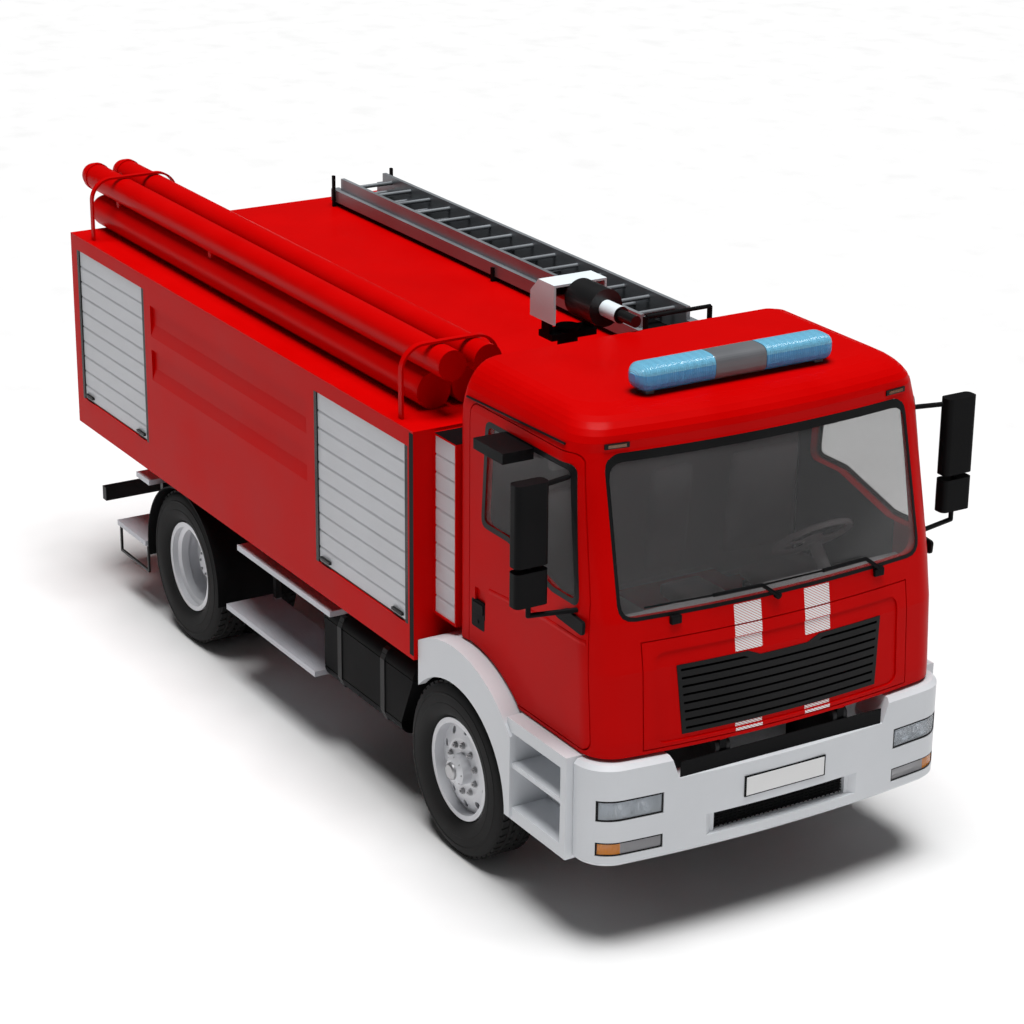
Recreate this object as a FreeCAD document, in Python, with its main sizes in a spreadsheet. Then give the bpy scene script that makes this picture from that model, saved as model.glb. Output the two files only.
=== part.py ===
import FreeCAD, Part

import math
import os

import Sketcher
from FreeCAD import Placement, Rotation, Vector

# A two-axle fire engine with a tilting forward-control cab, a boxed equipment body,
# hose tubes and a ladder on its roof, and a water cannon behind the cab.
# +X points forward, +Y to the left, +Z up. The origin is on the ground, half way along.
# All values are millimetres. Values in the first group drive the layout.

SIZES = {
    # Layout of the whole vehicle
    "overall_length": 7040,
    "wheel_base": 3560,
    "front_overhang": 1480,
    "body_width": 2550,
    "body_length": 4849,
    "body_setback": 363,
    "body_floor": 1076,
    "body_height": 1376,
    "cab_width": 2284,
    "cab_setback": 92,
    "cab_floor": 1115,
    "cab_height": 1800,
    "tyre_diameter": 1040,
    # Gaps and the overrun of cutting tools
    "overrun": 60,
    "seat_gap": 0.3,
    "joint_gap": 6,
    # Chassis frame
    "rail_spacing": 860,
    "rail_height": 260,
    "rail_flange": 75,
    "rail_web": 8,
    "rail_drop": 76,
    "rail_nose_gap": 140,
    "rail_tail_gap": 60,
    "crossmember_width": 60,
    "crossmember_height": 150,
    "subframe_width": 70,
    "hanger_length": 90,
    "underrun_width": 2300,
    "underrun_height": 100,
    "underrun_bottom": 480,
    "underrun_depth": 60,
    "cab_pivot_setback": 80,
    "cab_pivot_height": 1070,
    "pivot_pin_radius": 18,
    "pivot_ear_thickness": 24,
    "pivot_lug_thickness": 46,
    "pivot_ear_radius": 36,
    "pivot_ear_reach": 140,
    "cab_rest_post": 50,
    "cab_rest_setback": 60,
    "cab_rest_length": 90,
    "tow_jaw_length": 110,
    "tow_jaw_width": 120,
    "tow_ear_thickness": 22,
    "tow_jaw_opening": 60,
    "tow_pin_bore": 20,
    # Front axle, knuckles and springs
    "axle_beam_depth": 90,
    "axle_beam_height": 90,
    "axle_beam_drop": 85,
    "kingpin_track": 1840,
    "kingpin_radius": 22,
    "kingpin_boss_radius": 46,
    "knuckle_ear": 30,
    "knuckle_plate": 24,
    "knuckle_width": 120,
    "spindle_radius": 36,
    "steering_arm_length": 210,
    "steering_arm_height": 24,
    "spring_length": 1500,
    "spring_width": 80,
    "spring_rise": 120,
    "rear_spring_rise": 80,
    "spring_thickness": 78,
    "spring_eye_radius": 30,
    # Rear axle and drive line
    "rear_tube_radius": 75,
    "banjo_radius": 190,
    "banjo_width": 220,
    "banjo_nose_radius": 95,
    "banjo_nose_length": 300,
    "shaft_radius": 50,
    "shaft_flange_radius": 80,
    "shaft_flange_length": 40,
    "shaft_height": 560,
    "engine_length": 900,
    "engine_width": 640,
    "engine_bottom": 600,
    "engine_height": 700,
    "engine_setback": 150,
    "gearbox_length": 760,
    "gearbox_width": 420,
    "gearbox_height": 460,
    "gearbox_bottom": 480,
    # Wheels
    "tyre_width": 290,
    "bead_radius": 286,
    "flange_radius": 303,
    "rim_width": 210,
    "rim_skin": 14,
    "front_wheel_face": 1191,
    "rear_wheel_face": 1207,
    "twin_spacing": 325,
    "disc_thickness": 16,
    "disc_offset": 34,
    "hub_radius": 92,
    "hub_length": 185,
    "hub_nose": 22,
    "drum_length": 95,
    "front_drum_radius": 190,
    "hub_flange_radius": 176,
    "hand_hole_radius": 22,
    "hand_hole_circle": 226,
    "rear_hub_radius": 118,
    "rear_hub_length": 150,
    "rear_drum_radius": 198,
    # Body shell and its openings
    "body_wall": 40,
    "shutter_sill": 200,
    "shutter_height": 1076,
    "rear_locker_start": 95,
    "rear_locker_length": 1118,
    "front_locker_end": 63,
    "front_locker_length": 1136,
    "tail_locker_width": 1400,
    "slat_pitch": 108,
    "slat_gap": 18,
    "slat_depth": 16,
    "slat_groove": 8,
    "shutter_recess": 8,
    "shutter_rail": 34,
    "handle_length": 120,
    "handle_height": 16,
    "handle_stand": 18,
    "handle_inset": 30,
    "band_height": 124,
    "band_ledge": 87,
    "band_depth": 18,
    "band_inset": 100,
    "upper_band_drop": 189,
    "lower_band_drop": 491,
    "bay_width": 2290,
    "bay_length": 250,
    "bay_drop": 20,
    "bay_floor": 1345,
    "bay_frame": 12,
    # Steps, boxes and mudguards
    "step_thickness": 36,
    "step_depth": 310,
    "step_hanger": 40,
    "step_hanger_inset": 60,
    "upper_step_drop": 79,
    "upper_step_front": 1396,
    "upper_step_length": 1270,
    "lower_step_drop": 554,
    "lower_step_front": 1607,
    "lower_step_length": 1245,
    "rear_step_front": 4130,
    "rear_step_length": 476,
    "rear_high_step_front": 4030,
    "rear_high_step_length": 209,
    "step_leg": 16,
    "step_leg_drop": 200,
    "side_box_front": 500,
    "side_box_length": 1105,
    "side_box_top_drop": 116,
    "side_box_height": 490,
    "side_box_slope": 140,
    "side_box_step": 90,
    "side_box_nose": 60,
    "side_box_face": 1205,
    "side_box_width": 500,
    "side_box_round": 80,
    "side_box_seam": 6,
    "side_box_bracket": 60,
    "mudguard_skin": 10,
    "mudguard_inner": 620,
    "mudguard_outer": 1262,
    "mudguard_bottom": 430,
    # Front wing and entry steps
    "arch_shift": 38,
    "arch_radius": 562,
    "arch_lip": 50,
    "arch_liner_radius": 640,
    "wing_radius": 786,
    "wing_face": 1250,
    "wing_inner": 1000,
    "entry_front_gap": 277,
    "entry_length": 603,
    "entry_bottom": 505,
    "entry_top_gap": 10,
    "entry_face": 1235,
    "entry_back": 940,
    "entry_wall_place": 1000,
    "entry_post": 55,
    "entry_sill": 75,
    "entry_tread_height": 850,
    "entry_tread": 30,
    "cab_arch_radius": 800,
    # Bumper and front lamps
    "bumper_length": 275,
    "bumper_width": 2380,
    "bumper_bottom": 505,
    "bumper_height": 589,
    "bumper_dip": 134,
    "bumper_dip_width": 1360,
    "bumper_dip_slope": 70,
    "bumper_bulge": 55,
    "bumper_corner": 205,
    "bumper_skin": 55,
    "bumper_top_skin": 40,
    "bumper_round": 24,
    "bumper_shelf": 134,
    "bumper_bracket_inset": 8,
    "bumper_bracket_height": 130,
    "headlamp_inner": 770,
    "headlamp_outer": 1140,
    "headlamp_bottom": 775,
    "headlamp_height": 122,
    "indicator_bottom": 572,
    "indicator_height": 80,
    "lamp_inset": 5,
    "lamp_depth": 40,
    "intake_width": 880,
    "intake_bottom": 585,
    "intake_height": 115,
    "lip_depth": 38,
    "lip_bottom": 580,
    "lip_height": 126,
    "lip_width": 930,
    "lip_front_width": 1290,
    # Cab form
    "cab_wall": 75,
    "cab_front_floor": 35,
    "cab_front_belt": 57,
    "cab_front_sill": 102,
    "cab_front_header": 304,
    "cab_skirt": 1190,
    "cab_belt": 1583,
    "cab_sill": 1855,
    "cab_header": 2720,
    "cab_bulge": 70,
    "cab_bulge_place": 950,
    "cab_corner": 190,
    "cab_rear_corner": 60,
    "roof_side_start": 2620,
    "roof_side_inset": 190,
    "roof_front_start": 2780,
    "roof_front_inset": 240,
    "floor_thickness": 60,
    "arch_inner": 560,
    "arch_skin": 40,
    "tunnel_width": 920,
    "tunnel_height": 280,
    "tunnel_length": 1200,
    "tunnel_wall": 36,
    # Cab openings, doors, flap and glass
    "screen_bottom_width": 1984,
    "screen_top_width": 1956,
    "screen_corner": 95,
    "glass_thickness": 7,
    "glass_inset": 6,
    "door_thickness": 60,
    "hinge_relief": 140,
    "door_flange": 26,
    "door_rear": 1445,
    "door_front": 218,
    "door_front_sill": 280,
    "door_front_top": 421,
    "door_sill": 1964,
    "door_bottom": 1140,
    "door_top": 2722,
    "door_corner": 60,
    "window_rear": 1324,
    "window_rear_top": 1281,
    "window_front": 331,
    "window_front_top": 433,
    "window_step_low": 592,
    "window_step_high": 1045,
    "window_low": 1922,
    "window_high": 2047,
    "window_corner": 55,
    "window_head": 2670,
    "handle_recess": 16,
    "handle_panel_width": 110,
    "handle_panel_height": 170,
    "handle_panel_inset": 60,
    "handle_panel_bottom": 1500,
    "flap_width": 1740,
    "flap_bottom": 1140,
    "flap_top": 1735,
    "flap_thickness": 42,
    "flap_lip": 160,
    "panel_width": 1600,
    "panel_bottom": 1162,
    "panel_top": 1672,
    "panel_depth": 9,
    "grille_top": 1583,
    "grille_bottom": 1190,
    "grille_top_width": 1346,
    "grille_bottom_width": 1282,
    "grille_frame": 24,
    "grille_depth": 30,
    "grille_inset": 5,
    "grille_slat": 34,
    "notch_width": 470,
    "notch_inner_width": 310,
    "notch_drop": 34,
    # Cab fittings
    "seat_width": 480,
    "seat_depth": 460,
    "seat_front": 630,
    "seat_pedestal": 240,
    "seat_base": 1480,
    "seat_cushion": 130,
    "seat_back_height": 700,
    "seat_back_depth": 120,
    "seat_back_lean": 70,
    "seat_rest_height": 190,
    "seat_rest_width": 270,
    "seat_rest_gap": 30,
    "seat_spacing": 640,
    "dash_front": 130,
    "dash_depth": 400,
    "dash_width": 2000,
    "dash_top": 1790,
    "dash_edge": 1720,
    "dash_bottom": 1560,
    "wheel_rim_radius": 225,
    "wheel_rim_tube": 17,
    "wheel_spoke": 9,
    "wheel_spoke_drop": 12,
    "wheel_hub_radius": 60,
    "wheel_hub_length": 40,
    "wheel_lean": 40,
    "wheel_setback": 690,
    "wheel_height": 1850,
    "column_radius": 38,
    "column_length": 330,
    "light_bar_width": 1280,
    "light_bar_depth": 186,
    "light_bar_height": 148,
    "light_bar_round": 62,
    "light_bar_setback": 640,
    "light_bar_rise": 16,
    "light_bar_foot": 60,
    "wiper_radius": 11,
    "wiper_boss_radius": 20,
    "wiper_boss_length": 60,
    "wiper_stand": 24,
    "wiper_low": 1855,
    "wiper_high": 1930,
    "wiper_knee": 100,
    "wiper_reach": 810,
    "wiper_right": 40,
    "wiper_left": 670,
    # Mirrors
    "mirror_setback": 410,
    "mirror_reach": 1400,
    "mirror_width": 200,
    "mirror_depth": 90,
    "mirror_bottom": 2190,
    "mirror_height": 450,
    "wide_mirror_bottom": 1970,
    "wide_mirror_height": 190,
    "mirror_round": 30,
    "mirror_arm": 14,
    "mirror_arm_low": 1905,
    "mirror_arm_high": 2600,
    "mirror_arm_root": 75,
    "kerb_mirror_length": 300,
    "kerb_mirror_depth": 190,
    "kerb_mirror_height": 60,
    "kerb_mirror_setback": 790,
    "kerb_mirror_bottom": 2600,
    # Hose tubes and their straps
    "tube_radius": 110,
    "top_tube_radius": 90,
    "tube_edge": 300,
    "tube_pitch": 230,
    "top_tube_height": 315,
    "tube_front": 2135,
    "top_tube_front": 1925,
    "tube_rear": 315,
    "top_tube_rear": 130,
    "tube_cap": 125,
    "tube_ring": 6,
    "tube_ring_length": 40,
    "strap_width": 40,
    "strap_skin": 14,
    "strap_edge": 50,
    "strap_span": 635,
    "strap_height": 424,
    "strap_round": 150,
    "strap_front": 2080,
    "strap_rear": 620,
    # Roof ladder and its gantries
    "ladder_inner": 660,
    "ladder_width": 440,
    "ladder_front": 2380,
    "ladder_rear": 540,
    "ladder_rail_width": 28,
    "ladder_rail_height": 84,
    "ladder_nest": 36,
    "rung_radius": 14,
    "gantry_bar": 24,
    "gantry_front": 2420,
    "gantry_middle": 4206,
    "gantry_rear": 6430,
    "gantry_height": 32,
    "gantry_frame_height": 226,
    "gantry_post_height": 95,
    "tray_thickness": 4,
    # Water cannon
    "cannon_setback": 2270,
    "cannon_foot_radius": 130,
    "cannon_foot_height": 24,
    "cannon_post_radius": 60,
    "cannon_post_height": 230,
    "cannon_turn_radius": 74,
    "cannon_turn_height": 60,
    "cannon_axis_height": 520,
    "cannon_drum_radius": 112,
    "cannon_drum_rear": 136,
    "cannon_drum_front": 400,
    "cannon_hood_rear": 130,
    "cannon_hood_front": 130,
    "cannon_hood_width": 360,
    "cannon_hood_top": 88,
    "cannon_hood_bottom": 150,
    "cannon_hood_skin": 14,
    "cannon_arm_gap": 12,
    "cannon_barrel_radius": 58,
    "cannon_trunnion": 22,
    "cannon_nozzle_radius": 50,
    "cannon_nozzle_length": 160,
    "cannon_tip_length": 150,
    "cannon_tip_radius": 34,
    # Tail
    "tail_ladder_width": 380,
    "tail_ladder_place": 800,
    "tail_ladder_rise": 60,
    "tail_ladder_drop": 60,
    "tail_ladder_stand": 90,
    "tail_ladder_tube": 16,
    "tail_lamp_width": 340,
    "tail_lamp_edge": 40,
    "tail_lamp_height": 110,
    "tail_lamp_depth": 45,
    "tail_lamp_rise": 40,
}

# Where the crossmembers sit along the rails
CROSSMEMBER_SHARES = (0.0, 0.17, 0.34, 0.51, 0.68, 1.0)
# Half of a tyre's section: how far up from the bead to the tread, how far out from the middle
TYRE_SECTION_SHARES = ((0.0, 0.62), (0.08, 0.62), (0.2, 0.9), (0.47, 1.0), (0.76, 0.97), (0.93, 0.86),
                       (1.0, 0.70))
# How far each leaf of a spring reaches, and the part of it that lies flat
LEAF_SHARES = (1.0, 0.78, 0.52)
LEAF_FLAT_SHARE = 0.3
HAND_HOLES = 10
LADDER_RUNGS = 14
TAIL_RUNGS = 5
GRILLE_GAPS = 8
# Heights of the cab's cross-sections in the roof's rounding, up from where it starts
ROOF_LEVEL_SHARES = (0.0, 0.2, 0.38, 0.54, 0.66, 0.76, 0.85, 0.92, 0.97, 1.0)

doc = FreeCAD.newDocument("FireEngine")
sheet = doc.addObject("Spreadsheet::Sheet", "Sizes")
for row, (alias, value) in enumerate(SIZES.items(), start=1):
    sheet.set(f"A{row}", alias)
    sheet.set(f"B{row}", str(value))
    sheet.setAlias(f"B{row}", alias)
doc.recompute()


class Size:
    """A length together with the sheet formula that gives it, so that sums stay bound to the sheet."""

    def __init__(self, value, formula):
        self.value = float(value)
        self.formula = formula

    def combine(self, other, sign, swap=False):
        other = size(other)
        left, right = (other, self) if swap else (self, other)
        value = {"+": left.value + right.value, "-": left.value - right.value,
                 "*": left.value * right.value}.get(sign)
        if sign == "/":
            value = left.value / right.value
        return Size(value, f"({left.formula} {sign} {right.formula})")

    def __add__(self, other):
        return self.combine(other, "+")

    def __radd__(self, other):
        return self.combine(other, "+", swap=True)

    def __sub__(self, other):
        return self.combine(other, "-")

    def __rsub__(self, other):
        return self.combine(other, "-", swap=True)

    def __mul__(self, other):
        return self.combine(other, "*")

    def __rmul__(self, other):
        return self.combine(other, "*", swap=True)

    def __truediv__(self, other):
        return self.combine(other, "/")

    def __neg__(self):
        return 0 - self

    def __float__(self):
        return self.value


def size(value):
    """Any number as a Size."""
    return value if isinstance(value, Size) else Size(value, repr(float(value)))


class Sheet:
    """The sheet's cells by name."""

    def __getattr__(self, alias):
        return Size(sheet.get(alias), f"Sizes.{alias}")


S = Sheet()
NODES = {}
FORMS = {}
AXES = {"x": Vector(1, 0, 0), "y": Vector(0, 1, 0), "z": Vector(0, 0, 1)}
TURN_TO = {"x": Rotation(Vector(0, 1, 0), 90), "y": Rotation(Vector(1, 0, 0), -90), "z": Rotation()}
PLANE_OF = {"x": "YZ_Plane", "y": "XZ_Plane", "z": "XY_Plane"}


# Helpers that make bound features

def place(feature, **places):
    """Bind the feature's position to the sheet."""
    for axis, where in places.items():
        feature.setExpression(f".Placement.Base.{axis}", size(where).formula)


def box(x, y, z):
    """A box between three pairs of low and high places."""
    solid = doc.addObject("Part::Box", "Box")
    for name, (low, high) in (("Length", x), ("Width", y), ("Height", z)):
        solid.setExpression(name, (size(high) - low).formula)
    place(solid, x=x[0], y=y[0], z=z[0])
    return solid


def rod(axis, centre, radius, span):
    """A cylinder along one axis; centre holds its other two places in X, Y, Z order."""
    solid = doc.addObject("Part::Cylinder", "Rod")
    solid.Placement = Placement(Vector(), TURN_TO[axis])
    solid.setExpression("Radius", size(radius).formula)
    solid.setExpression("Height", (size(span[1]) - span[0]).formula)
    places = dict(zip([name for name in "xyz" if name != axis], centre))
    places[axis] = span[0]
    place(solid, **places)
    return solid


def bind_outline(sketch, points):
    """Draw a closed outline and hold each corner at its place from the sketch's origin."""
    count = len(points)
    corners = [Vector(float(across), float(up), 0) for across, up in points]
    for index in range(count):
        sketch.addGeometry(Part.LineSegment(corners[index], corners[(index + 1) % count]), False)
    for index in range(count):
        sketch.addConstraint(Sketcher.Constraint("Coincident", index, 2, (index + 1) % count, 1))
    for index, pair in enumerate(points):
        for kind, place_of in zip(("DistanceX", "DistanceY"), pair):
            number = sketch.addConstraint(
                Sketcher.Constraint(kind, -1, 1, index, 1, float(place_of)))
            sketch.setExpression(f"Constraints[{number}]", size(place_of).formula)


def sketch_in(body, axis):
    """A sketch on the body's own origin plane that faces the axis."""
    sketch = body.newObject("Sketcher::SketchObject", "Outline")
    plane = next(item for item in body.Origin.OriginFeatures if item.Role == PLANE_OF[axis])
    sketch.AttachmentSupport = [(plane, "")]
    sketch.MapMode = "FlatFace"
    return sketch


def prism(axis, points, span):
    """An outline padded along one axis; its points are the other two places in X, Y, Z order."""
    body = doc.addObject("PartDesign::Body", "Prism")
    sketch = sketch_in(body, axis)
    bind_outline(sketch, points)
    pad = body.newObject("PartDesign::Pad", "Pad")
    pad.Profile = sketch
    pad.setExpression("Length", (size(span[1]) - span[0]).formula)
    place(body, **{axis: span[1] if axis == "y" else span[0]})
    return body


def turned(points, x, y, z):
    """An outline of radius and place along Y, turned about the Y axis through x and z."""
    body = doc.addObject("PartDesign::Body", "Turned")
    sketch = sketch_in(body, "z")
    bind_outline(sketch, points)
    revolution = body.newObject("PartDesign::Revolution", "Revolution")
    revolution.Profile = sketch
    revolution.ReferenceAxis = (sketch, ["V_Axis"])
    revolution.Angle = 360
    place(body, x=x, y=y, z=z)
    return body


def fused(*parts):
    """One solid from parts that touch."""
    if len(parts) == 1:
        return parts[0]
    whole = doc.addObject("Part::MultiFuse", "Fused")
    whole.Shapes = list(parts)
    return whole


def less(base, *tools):
    """The base with the tools cut from it."""
    for tool in tools:
        cut = doc.addObject("Part::Cut", "Less")
        cut.Base = base
        cut.Tool = tool
        base = cut
    return base


def shared(*parts):
    """What all the parts have in common."""
    whole = doc.addObject("Part::MultiCommon", "Shared")
    whole.Shapes = list(parts)
    return whole


def group(*parts):
    """Like pieces of one node that don't touch."""
    whole = doc.addObject("Part::Compound", "Group")
    whole.Links = list(parts)
    return whole


def mirrored(part):
    """The same part on the other side of the vehicle."""
    twin = doc.addObject("Part::Mirroring", "Mirrored")
    twin.Source = part
    twin.Normal = Vector(0, 1, 0)
    twin.Base = Vector(0, 0, 0)
    return twin


def both_sides(part):
    """A part and its mirror image as one node."""
    return group(part, mirrored(part))


def shaped(shape):
    """A feature that holds a shape made by Part's own functions."""
    feature = doc.addObject("Part::Feature", "Shaped")
    feature.Shape = shape
    return feature


def rounded(part, radius, choose):
    """Round the edges that choose picks."""
    part.recompute(True)
    edges = [number for number, edge in enumerate(part.Shape.Edges, start=1) if choose(edge)]
    fillet = doc.addObject("Part::Fillet", "Rounded")
    fillet.Base = part
    fillet.Edges = [(number, float(radius), float(radius)) for number in edges]
    return fillet


def runs_along(edge, axis):
    """Whether a straight edge runs along an axis."""
    if not isinstance(edge.Curve, (Part.Line, Part.LineSegment)):
        return False
    run = edge.Vertexes[-1].Point - edge.Vertexes[0].Point
    return abs(run.normalize().dot(axis)) > 0.999


def node(name, part):
    """Name a finished sub-part; its label is also its file's name."""
    part.Label = name
    NODES[name] = part
    return part


# Places that many pieces share

nose = S.overall_length / 2
tail = -nose
front_axle = nose - S.front_overhang
rear_axle = front_axle - S.wheel_base
hub_height = S.tyre_diameter / 2
half_body = S.body_width / 2
half_cab = S.cab_width / 2
body_front = front_axle - S.body_setback
body_rear = body_front - S.body_length
body_roof = S.body_floor + S.body_height
cab_rear = front_axle - S.cab_setback
cab_top = S.cab_floor + S.cab_height
rail_top = S.body_floor - S.rail_drop
rail_bottom = rail_top - S.rail_height
rail_face = S.rail_spacing / 2
rail_front = nose - S.rail_nose_gap
rail_rear = body_rear + S.rail_tail_gap
pivot_x = nose - S.cab_pivot_setback
pivot_lug_place = rail_face - S.rail_flange / 2
arch_x = front_axle + S.arch_shift
front_spring_seat = hub_height - S.axle_beam_drop + S.axle_beam_height / 2 + S.seat_gap
rear_spring_seat = hub_height + S.rear_tube_radius + S.seat_gap


# Chassis

def chassis_frame():
    """Two channel rails with their fittings, crossmembers seated between them, a tow jaw and a tail bar."""
    inner = rail_face - S.rail_flange
    web = rail_face - S.rail_web
    channel = [(inner, rail_bottom), (rail_face, rail_bottom), (rail_face, rail_top), (inner, rail_top),
               (inner, rail_top - S.rail_web), (web, rail_top - S.rail_web),
               (web, rail_bottom + S.rail_web), (inner, rail_bottom + S.rail_web)]
    subframe = box((rail_rear, body_front), (inner, inner + S.subframe_width),
                   (rail_top, S.body_floor - S.seat_gap))
    rail = fused(prism("x", channel, (rail_rear, rail_front)), subframe,
                 *spring_hangers(front_axle, front_spring_seat + S.spring_rise),
                 *spring_hangers(rear_axle, rear_spring_seat + S.rear_spring_rise),
                 *cab_bearer(), *cab_rest())
    middle = (rail_top + rail_bottom) / 2
    run = rail_front - rail_rear - S.crossmember_width
    members = []
    for share in CROSSMEMBER_SHARES:
        start = rail_rear + run * share
        members.append(box((start, start + S.crossmember_width), (S.seat_gap - web, web - S.seat_gap),
                           (middle - S.crossmember_height / 2, middle + S.crossmember_height / 2)))
    members[0] = fused(members[0], tow_jaw())
    return node("chassis_frame", group(rail, mirrored(rail), *members, underrun_bar()))


def spring_hangers(axle, eye):
    """Blocks below the left rail that hold the ends of its spring."""
    pieces = []
    for end in (-1, 1):
        middle = axle + end * S.spring_length / 2
        pieces.append(box((middle - S.hanger_length / 2, middle + S.hanger_length / 2),
                          (rail_face - S.rail_flange, rail_face),
                          (eye + S.spring_eye_radius, rail_bottom + S.rail_web)))
    return pieces


def underrun_bar():
    """The bar across the tail below the rails, on two posts."""
    along = (rail_rear, rail_rear + S.underrun_depth)
    top = S.underrun_bottom + S.underrun_height
    pieces = [box(along, (-S.underrun_width / 2, S.underrun_width / 2), (S.underrun_bottom, top))]
    for across in ((rail_face - S.rail_flange, rail_face), (-rail_face, S.rail_flange - rail_face)):
        pieces.append(box(along, across, (top, rail_bottom - S.seat_gap)))
    return fused(*pieces)


def cab_bearer():
    """The left pair of ears with the pin that the cab tilts on."""
    bottom = rail_top - S.rail_web
    lug = S.pivot_lug_thickness / 2 + S.seat_gap
    middle = pivot_lug_place
    outer = lug + S.pivot_ear_thickness
    pieces = [rod("y", (pivot_x, S.cab_pivot_height), S.pivot_pin_radius, (middle - outer, middle + outer))]
    for across in ((middle - outer, middle - lug), (middle + lug, middle + outer)):
        pieces.append(box((pivot_x - S.pivot_ear_reach, pivot_x + S.pivot_ear_radius), across,
                          (bottom, S.cab_pivot_height)))
        pieces.append(rod("y", (pivot_x, S.cab_pivot_height), S.pivot_ear_radius, across))
    return pieces


def cab_rest():
    """A post beside the engine tunnel that carries the cab's rear edge when it is down."""
    start = cab_rear + S.cab_rest_setback
    along = (start, start + S.cab_rest_length)
    inner = S.tunnel_width / 2 + S.tunnel_wall
    outer = inner + S.cab_rest_post
    return [box(along, (inner, outer), (rail_bottom, S.cab_floor - S.seat_gap)),
            box(along, (rail_face - S.rail_web, outer), (rail_bottom, rail_bottom + S.cab_rest_length))]


def tow_jaw():
    """A jaw with a vertical pin hole at the rear end of the frame."""
    middle = (rail_top + rail_bottom) / 2
    half = S.tow_jaw_opening / 2 + S.tow_ear_thickness
    reach = rail_rear - S.tow_jaw_length
    width = S.tow_jaw_width / 2
    block = box((reach, rail_rear), (-width, width), (middle - half, middle + half))
    mouth = box((reach - S.overrun, rail_rear - S.tow_ear_thickness),
                (-width - S.overrun, width + S.overrun),
                (middle - S.tow_jaw_opening / 2, middle + S.tow_jaw_opening / 2))
    bore = rod("z", (reach + S.tow_jaw_length / 2, 0), S.tow_pin_bore,
               (middle - half - S.overrun, middle + half + S.overrun))
    return less(block, mouth, bore)


def front_axle_beam():
    """A dropped beam with a boss at each end for the kingpin."""
    end = S.kingpin_track / 2
    half = S.axle_beam_height / 2
    low = hub_height - S.axle_beam_drop
    knee = end - 2 * S.axle_beam_height
    foot = knee - S.axle_beam_drop
    half_outline = [(foot, low + half), (knee, hub_height + half), (end, hub_height + half),
                    (end, hub_height - half), (knee, hub_height - half), (foot, low - half)]
    outline = half_outline + [(-y, z) for y, z in reversed(half_outline)]
    along = (front_axle - S.axle_beam_depth / 2, front_axle + S.axle_beam_depth / 2)
    pieces = [prism("x", outline, along)]
    bores = []
    for side in (-1, 1):
        pieces.append(rod("z", (front_axle, side * end), S.kingpin_boss_radius,
                          (hub_height - half, hub_height + half)))
        bores.append(rod("z", (front_axle, side * end), S.kingpin_radius + S.seat_gap,
                         (hub_height - half - S.overrun, hub_height + half + S.overrun)))
    return node("front_axle", less(fused(*pieces), *bores))


def knuckle():
    """The right knuckle: a yoke round the axle's boss, a kingpin, a spindle and a steering arm."""
    pin_y = -S.kingpin_track / 2
    half = S.axle_beam_height / 2
    wide = S.knuckle_width / 2
    outer = pin_y - S.kingpin_boss_radius - S.joint_gap - S.knuckle_plate
    near = pin_y + S.kingpin_boss_radius
    pieces = [rod("z", (front_axle, pin_y), S.kingpin_radius,
                  (hub_height - half - S.knuckle_ear, hub_height + half + S.knuckle_ear))]
    for side in (-1, 1):
        face = hub_height + side * (half + S.seat_gap)
        far = face + side * S.knuckle_ear
        low, high = (face, far) if side == 1 else (far, face)
        pieces.append(rod("z", (front_axle, pin_y), S.kingpin_boss_radius, (low, high)))
        pieces.append(box((front_axle - S.kingpin_boss_radius, front_axle + S.kingpin_boss_radius),
                          (outer, pin_y), (low, high)))
    top = hub_height + half + S.seat_gap + S.knuckle_ear
    bottom = hub_height - half - S.seat_gap - S.knuckle_ear
    pieces.append(box((front_axle - wide, front_axle + wide), (outer, outer + S.knuckle_plate),
                      (bottom, top)))
    pieces.append(rod("y", (front_axle, hub_height), S.spindle_radius,
                      (S.disc_thickness + S.seat_gap - S.hub_nose - S.front_wheel_face, outer)))
    arm_end = front_axle - S.steering_arm_length
    pieces.append(box((arm_end, front_axle - S.kingpin_boss_radius / 2),
                      (near - S.kingpin_boss_radius, near), (bottom, bottom + S.steering_arm_height)))
    return fused(*pieces)


def leaf_spring(axle, seat, rise):
    """A stack of three leaves with rolled eyes, bowed up towards its ends."""
    half = S.spring_length / 2
    leaf = S.spring_thickness / 3
    across = (rail_face - S.spring_width, rail_face)
    pieces = []
    for step, share in enumerate(LEAF_SHARES):
        reach = half * share
        flat = reach * LEAF_FLAT_SHARE
        under = seat + S.spring_thickness - leaf * (step + 1)
        tip = under + (rise - S.spring_thickness + leaf) * share
        outline = [(axle - reach, tip), (axle - flat, under), (axle + flat, under), (axle + reach, tip),
                   (axle + reach, tip + leaf), (axle + flat, under + leaf), (axle - flat, under + leaf),
                   (axle - reach, tip + leaf)]
        pieces.append(prism("y", outline, across))
    for end in (-1, 1):
        pieces.append(rod("y", (axle + end * half, seat + rise), S.spring_eye_radius - S.seat_gap, across))
    return fused(*pieces)


def leaf_springs():
    """A spring below each rail at both axles."""
    front = leaf_spring(front_axle, front_spring_seat, S.spring_rise)
    rear = leaf_spring(rear_axle, rear_spring_seat, S.rear_spring_rise)
    return node("leaf_springs", group(front, mirrored(front), rear, mirrored(rear)))


def rear_axle_casing():
    """The driven axle: a banjo casing with its input nose and the tubes out to the hubs."""
    half = S.banjo_width / 2
    reach = S.rear_wheel_face - S.rim_width
    pieces = [rod("y", (rear_axle, hub_height), S.banjo_radius, (-half, half)),
              rod("x", (0, S.shaft_height), S.banjo_nose_radius,
                  (rear_axle, rear_axle + S.banjo_nose_length)),
              rod("y", (rear_axle, hub_height), S.rear_tube_radius,
                  (S.rear_hub_length - reach, reach - S.rear_hub_length)),
              rod("y", (rear_axle, hub_height), S.spindle_radius, (-reach, reach))]
    return node("rear_axle", fused(*pieces))


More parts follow.
